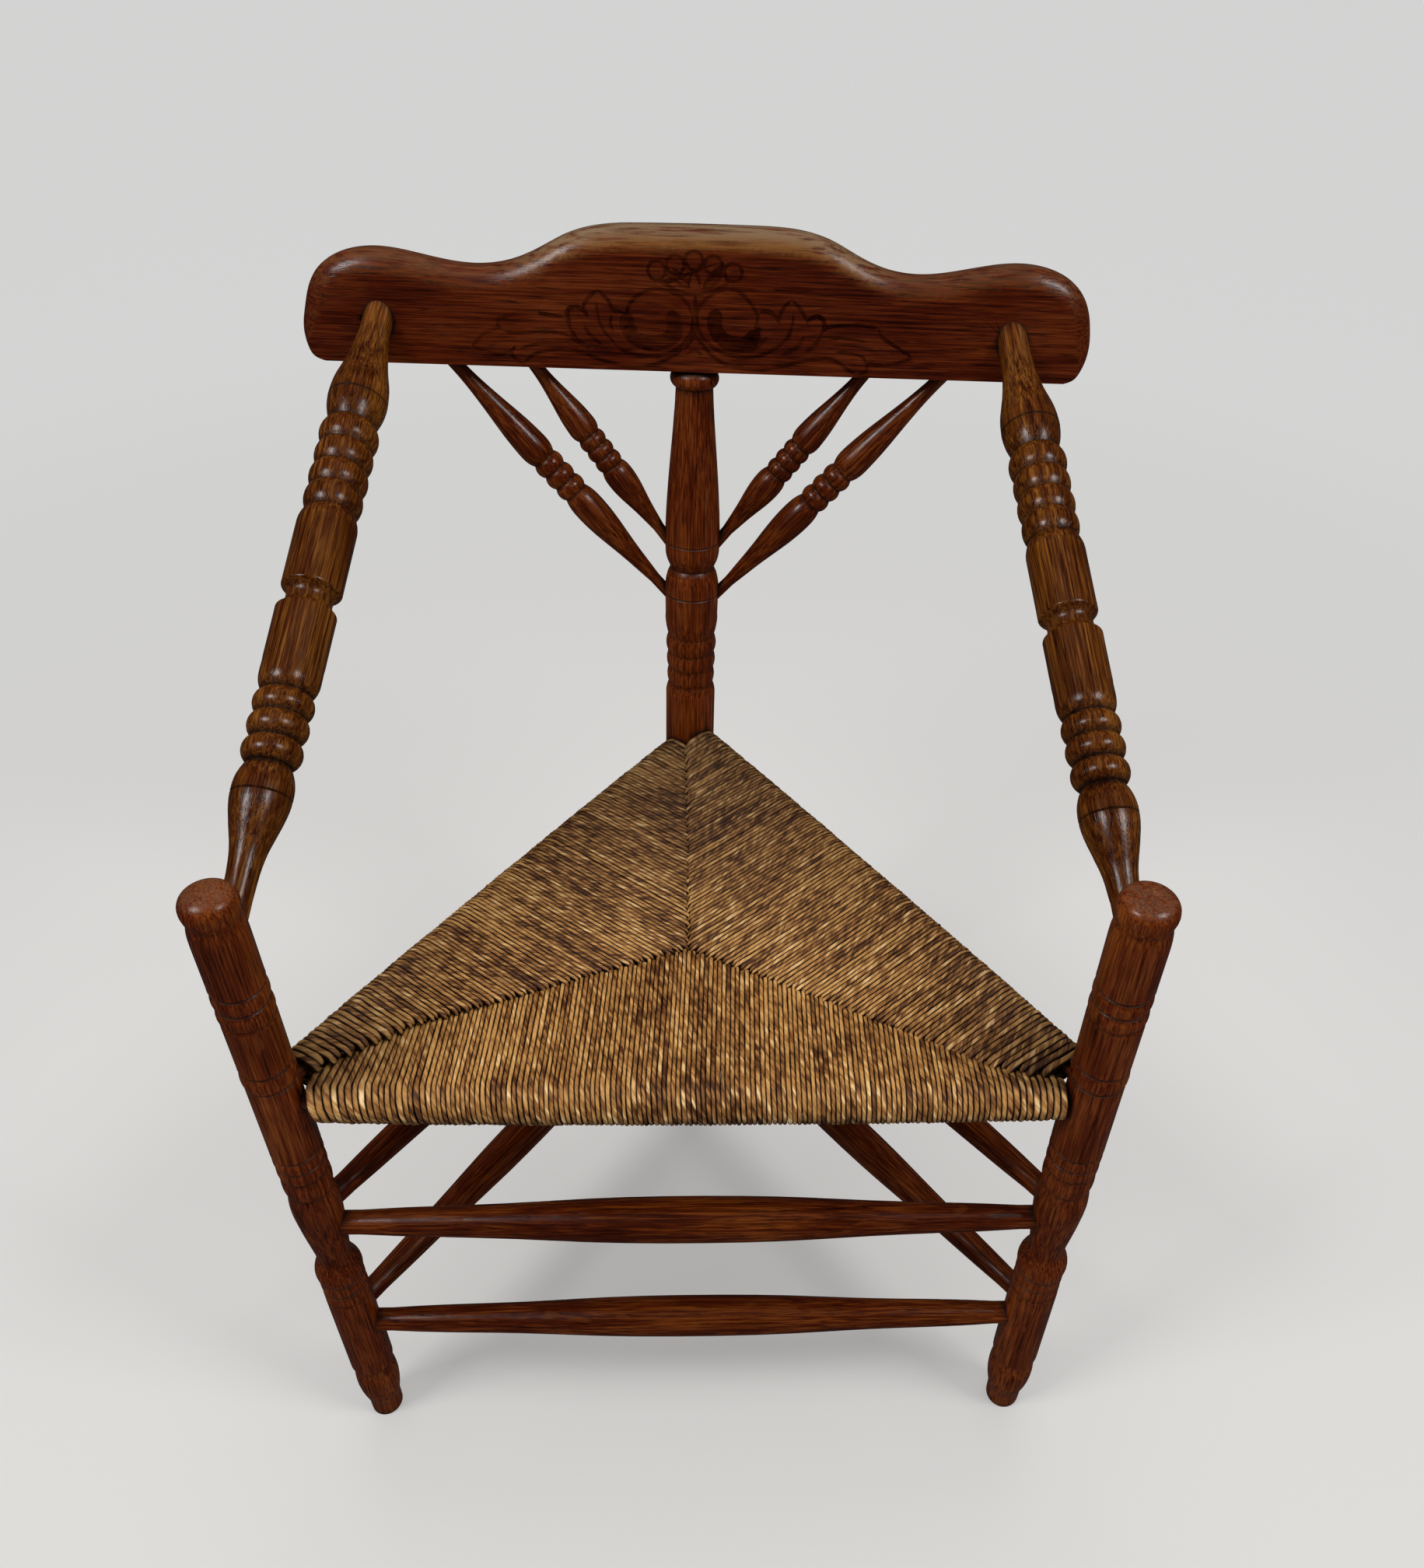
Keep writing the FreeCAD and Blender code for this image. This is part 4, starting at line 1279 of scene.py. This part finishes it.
@dataclass
class CarvedCrest:
    """The crest rail with its scroll and leaf carving cut into the front face."""

    from_posts: Point = (-2.0 * MM, 437.0 * MM, 0.0)
    foot_height: float = 754.0 * MM
    lean: float = 0.120
    half_thick: float = 18.0 * MM
    side_drop: float = 0.0078
    ornament_along: float = -3.0
    rings_cut: int = 40
    proud: float = 0.5
    widen: float = 1.60
    deepen: float = 1.50
    entry_run: float = 5.0
    entry_share: float = 0.25
    tool_half_width: float = 0.866
    smooth_below: float = 30.0
    # A warm tone and a painted sheen over wear on the upper faces near the middle; painted shade with dirt
    # in the hollows.
    finish: OakFinish = OakFinish(
        "crest_oak",
        dark=(0.0180, 0.0012, 0.0002),
        middle=(0.0600, 0.0070, 0.0009),
        light=(0.1250, 0.0240, 0.0036),
        golden=0.75,
        sheen_and_wear=0.85,
        tone_and_sheen_reach=0.150,
        roughness=0.24,
        dirt_and_shade_reach=4.0 * MM,
        turned=False,
    )
    # Near-black for the cut faces of the carving: dirt and painted shade in the cuts.
    shaded_cut_finish: OakFinish = OakFinish(
        "shaded_cut_oak",
        dark=(0.0020, 0.0004, 0.0001),
        middle=(0.0050, 0.0010, 0.0003),
        light=(0.0200, 0.0045, 0.0012),
        specular=0.10,
        turned=False,
    )

    @staticmethod
    def cuts() -> list[Cut]:
        """List all strokes: beads on top, the table's strokes, and rays in the scrolls.

        Returns:
            The strokes, in the order of carving.
        """
        middles = ((-27.5, 77.0), (-14.0, 81.5), (-0.5, 85.0), (13.5, 82.0), (28.0, 77.5))
        beads = [ring(*place, 6.4) for place in middles]
        strokes = [stroke(*row) for row in STROKES]
        rays = chips(-31.5, 43.5, -160.0, -20.0, 5) + chips(30.5, 46.0, -165.0, -25.0, 5)
        return beads + strokes + rays

    def on_face(self, along: np.ndarray, height: np.ndarray, inward: np.ndarray) -> np.ndarray:
        """Turn places on the leaning front face into points of the chair.

        Args:
            along: Millimetres along the crest from the ornament's middle.
            height: Millimetres above the crest's foot.
            inward: Millimetres into the face.

        Returns:
            The points in metres.
        """
        between = between_posts()
        origin = Vector((between.x, between.y, self.foot_height)) + Vector(self.from_posts)
        upright = Vector((0.0, self.lean, 1.0)).normalized()
        backward = Vector((0.0, 1.0, -self.lean)).normalized()
        along = along + self.ornament_along
        level = height - self.side_drop * along
        depth = inward - self.half_thick / MM
        place = np.array(origin)[None, :] + np.outer(along * MM, (1.0, 0.0, 0.0))
        return place + np.outer(level * MM, upright) + np.outer(depth * MM, backward)

    def _stroke(self, straight: bpy.types.Object, cut: Cut) -> bpy.types.Object:
        """Copy the straight tool and bend the copy along one stroke.

        Args:
            straight: The straight tool.
            cut: The stroke.

        Returns:
            The bent tool, narrow and shallow at the ends of an open stroke.
        """
        tool = copied(straight)
        local = points_of(straight)
        last = self.rings_cut + 1
        path = cut.path(last + 1)
        spot = np.clip(np.rint(local[:, 2] * last).astype(int), 0, last)
        heading = np.gradient(path, axis=0)
        heading /= np.linalg.norm(heading, axis=1)[:, None]
        reach = reach_along(path)
        run = np.clip(np.minimum(reach, reach[-1] - reach) / self.entry_run, 0.0, 1.0)
        entry = self.entry_share + (1.0 - self.entry_share) * np.sin(run * math.pi / 2)
        if cut.closed:
            entry = np.ones(len(path))
        half = cut.width * self.widen / 2 + 0.4
        across = local[:, 0] / self.tool_half_width * half * entry[spot]
        deep = (local[:, 1] + 0.5) / 1.5
        inward = deep * (cut.depth * self.deepen * entry[spot] + self.proud) - self.proud
        along = path[spot, 0] - heading[spot, 1] * across
        height = path[spot, 1] + heading[spot, 0] * across
        put_points(tool, self.on_face(along, height, inward))
        return tool

    def build(self) -> bpy.types.Object:
        """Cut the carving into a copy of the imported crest.

        Returns:
            The carved crest.
        """
        deselect_all()
        crest = copied(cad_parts["crest_rail"])
        crest.name = "crest_rail_carved"
        bpy.context.view_layer.objects.active = crest
        crest.select_set(True)
        bpy.ops.object.mode_set(mode="EDIT")
        bpy.ops.mesh.select_all(action="SELECT")
        bpy.ops.mesh.remove_doubles(threshold=0.002 * MM)
        bpy.ops.object.mode_set(mode="OBJECT")
        place = (middle_of("crest_rail"), Vector((1.0, 0.0, -self.side_drop)), 7.0)
        crest.data.materials.clear()
        crest.data.materials.append(self.finish.make("crest", *place))
        tool = self._tool()
        # The cut faces take the near-black finish, painted shade with dirt.
        tool.data.materials.append(self.shaded_cut_finish.make("carving", *place))
        modifier = crest.modifiers.new("carving", "BOOLEAN")
        modifier.operation = "DIFFERENCE"
        modifier.solver = "MANIFOLD"
        modifier.material_mode = "TRANSFER"
        modifier.object = tool
        bpy.context.view_layer.objects.active = crest
        bpy.ops.object.modifier_apply(modifier=modifier.name)
        bpy.data.objects.remove(tool)
        bpy.ops.object.shade_smooth_by_angle(angle=math.radians(self.smooth_below))
        self._sharpen(crest.data)
        weights = crest.modifiers.new("weights", "WEIGHTED_NORMAL")
        weights.weight = 100
        weights.keep_sharp = True
        bpy.ops.object.modifier_apply(modifier=weights.name)
        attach(crest, ROOT)
        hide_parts("crest_rail")
        LOG.info("%s: %d strokes, %d faces", crest.name, len(self.cuts()), len(crest.data.polygons))
        return crest

    @staticmethod
    def _sharpen(mesh: bpy.types.Mesh) -> None:
        """Keep edges between two finishes sharp, so that the board's face shades flat.

        Args:
            mesh: The carved crest's mesh.
        """
        finishes: dict[tuple[int, int], set[int]] = {}
        for face in mesh.polygons:
            for key in face.edge_keys:
                finishes.setdefault(key, set()).add(face.material_index)
        for edge in mesh.edges:
            if len(finishes.get(edge.key, ())) > 1:
                edge.use_edge_sharp = True

    def _tool(self) -> bpy.types.Object:
        """Model the straight tool once, lay one copy for each stroke, join them.

        Returns:
            All bent tools as one object.
        """
        straight = upright_bar(3, 1.0, "NGON", self.rings_cut)
        tools = [self._stroke(straight, cut) for cut in self.cuts()]
        bpy.data.objects.remove(straight)
        return joined(tools, "carving_tool")


# The studio


@dataclass
class Studio:
    """The pale floor, three soft lights, a pale surround and the camera."""

    floor_size: float = 60.0
    camera_from_posts: Point = (26.0 * MM, -524.7 * MM, 0.0)
    camera_height: float = 1147.6 * MM
    camera_turn: Point = (50.067, -2.162, -1.803)
    sensor: float = 36.0
    lens: float = 29.464
    shift: tuple[float, float] = (-0.05304, 0.0)
    surround: Colour = (0.80, 0.80, 0.795)
    surround_light: float = 0.40
    surround_gloss: float = 0.04

    def build(self) -> None:
        """Set the whole studio."""
        self._floor()
        self._surround()
        self._light("light_left", (-1.4, -0.9, 2.4), (0.0, 0.0, 0.45), 0.7, 27.0)
        self._light("light_right", (1.5, -0.8, 2.4), (0.0, 0.0, 0.45), 0.7, 25.0)
        top = self._light("light_top", (0.0, 0.4, 2.8), (0.0, 0.0, 0.5), 2.0, 26.0)
        top.visible_glossy = False
        self._camera()
        bpy.context.scene.view_settings.view_transform = "Standard"

    def _floor(self) -> None:
        """Lay the floor."""
        deselect_all()
        bpy.ops.mesh.primitive_plane_add(size=self.floor_size, location=(0, 0, 0))
        floor = bpy.context.object
        floor.name = "floor"
        floor.data.materials.append(FloorFinish("studio_floor").make())
        floor.visible_glossy = False

    def _surround(self) -> None:
        """Make the surround: pale to the camera, an even fill to the chair."""
        world = bpy.data.worlds.new("surround")
        bpy.context.scene.world = world
        world.use_nodes = True
        nodes = world.node_tree.nodes
        nodes.clear()
        links = world.node_tree.links
        path = nodes.new("ShaderNodeLightPath")
        seen = self._glow(nodes, 1.0)
        gloss = self._glow(nodes, self.surround_gloss)
        fill = self._glow(nodes, self.surround_light)
        first = nodes.new("ShaderNodeMixShader")
        second = nodes.new("ShaderNodeMixShader")
        ending = nodes.new("ShaderNodeOutputWorld")
        links.new(path.outputs["Is Glossy Ray"], first.inputs[0])
        links.new(fill.outputs[0], first.inputs[1])
        links.new(gloss.outputs[0], first.inputs[2])
        links.new(path.outputs["Is Camera Ray"], second.inputs[0])
        links.new(first.outputs[0], second.inputs[1])
        links.new(seen.outputs[0], second.inputs[2])
        links.new(second.outputs[0], ending.inputs["Surface"])

    def _glow(self, nodes: bpy.types.Nodes, strength: float) -> bpy.types.Node:
        """Add one even background of the surround's colour.

        Args:
            nodes: The surround's nodes.
            strength: The background's strength.

        Returns:
            The background's node.
        """
        glow = nodes.new("ShaderNodeBackground")
        glow.inputs["Color"].default_value = (*self.surround, 1.0)
        glow.inputs["Strength"].default_value = strength
        return glow

    @staticmethod
    def _light(name: str, place: Point, aim: Point, size: float, power: float) -> bpy.types.Object:
        """Hang one square soft light.

        Args:
            name: The light's name.
            place: Where it hangs.
            aim: The point it faces.
            size: The side of the square.
            power: Its power in watts.

        Returns:
            The light.
        """
        lamp = bpy.data.lights.new(name, "AREA")
        lamp.shape = "SQUARE"
        lamp.size = size
        lamp.energy = power
        holder = bpy.data.objects.new(name, lamp)
        bpy.context.collection.objects.link(holder)
        holder.location = place
        direction = Vector(aim) - Vector(place)
        holder.rotation_euler = direction.to_track_quat("-Z", "Y").to_euler()
        return holder

    def _camera(self) -> None:
        """Stand the camera where the photograph was taken."""
        lens = bpy.data.cameras.new("camera")
        lens.sensor_fit = "AUTO"
        lens.sensor_width = self.sensor
        lens.lens = self.lens
        lens.shift_x, lens.shift_y = self.shift
        lens.clip_start = 0.01
        camera = bpy.data.objects.new("camera", lens)
        bpy.context.collection.objects.link(camera)
        between = between_posts()
        place = Vector((between.x, between.y, self.camera_height)) + Vector(self.camera_from_posts)
        turn = Euler([math.radians(angle) for angle in self.camera_turn], "XYZ")
        camera.matrix_world = Matrix.Translation(place) @ turn.to_matrix().to_4x4()
        bpy.context.scene.camera = camera


def main() -> None:
    """Build and dress the chair, then the studio."""
    logging.basicConfig(level=logging.INFO, format="%(message)s")
    OakFrame().build()
    CarvedCrest().build()
    dress_node("seat_stuffing", StuffingFinish("stuffing").make())
    RushWeaver().build()
    Studio().build()


if __name__ == "__main__":
    main()
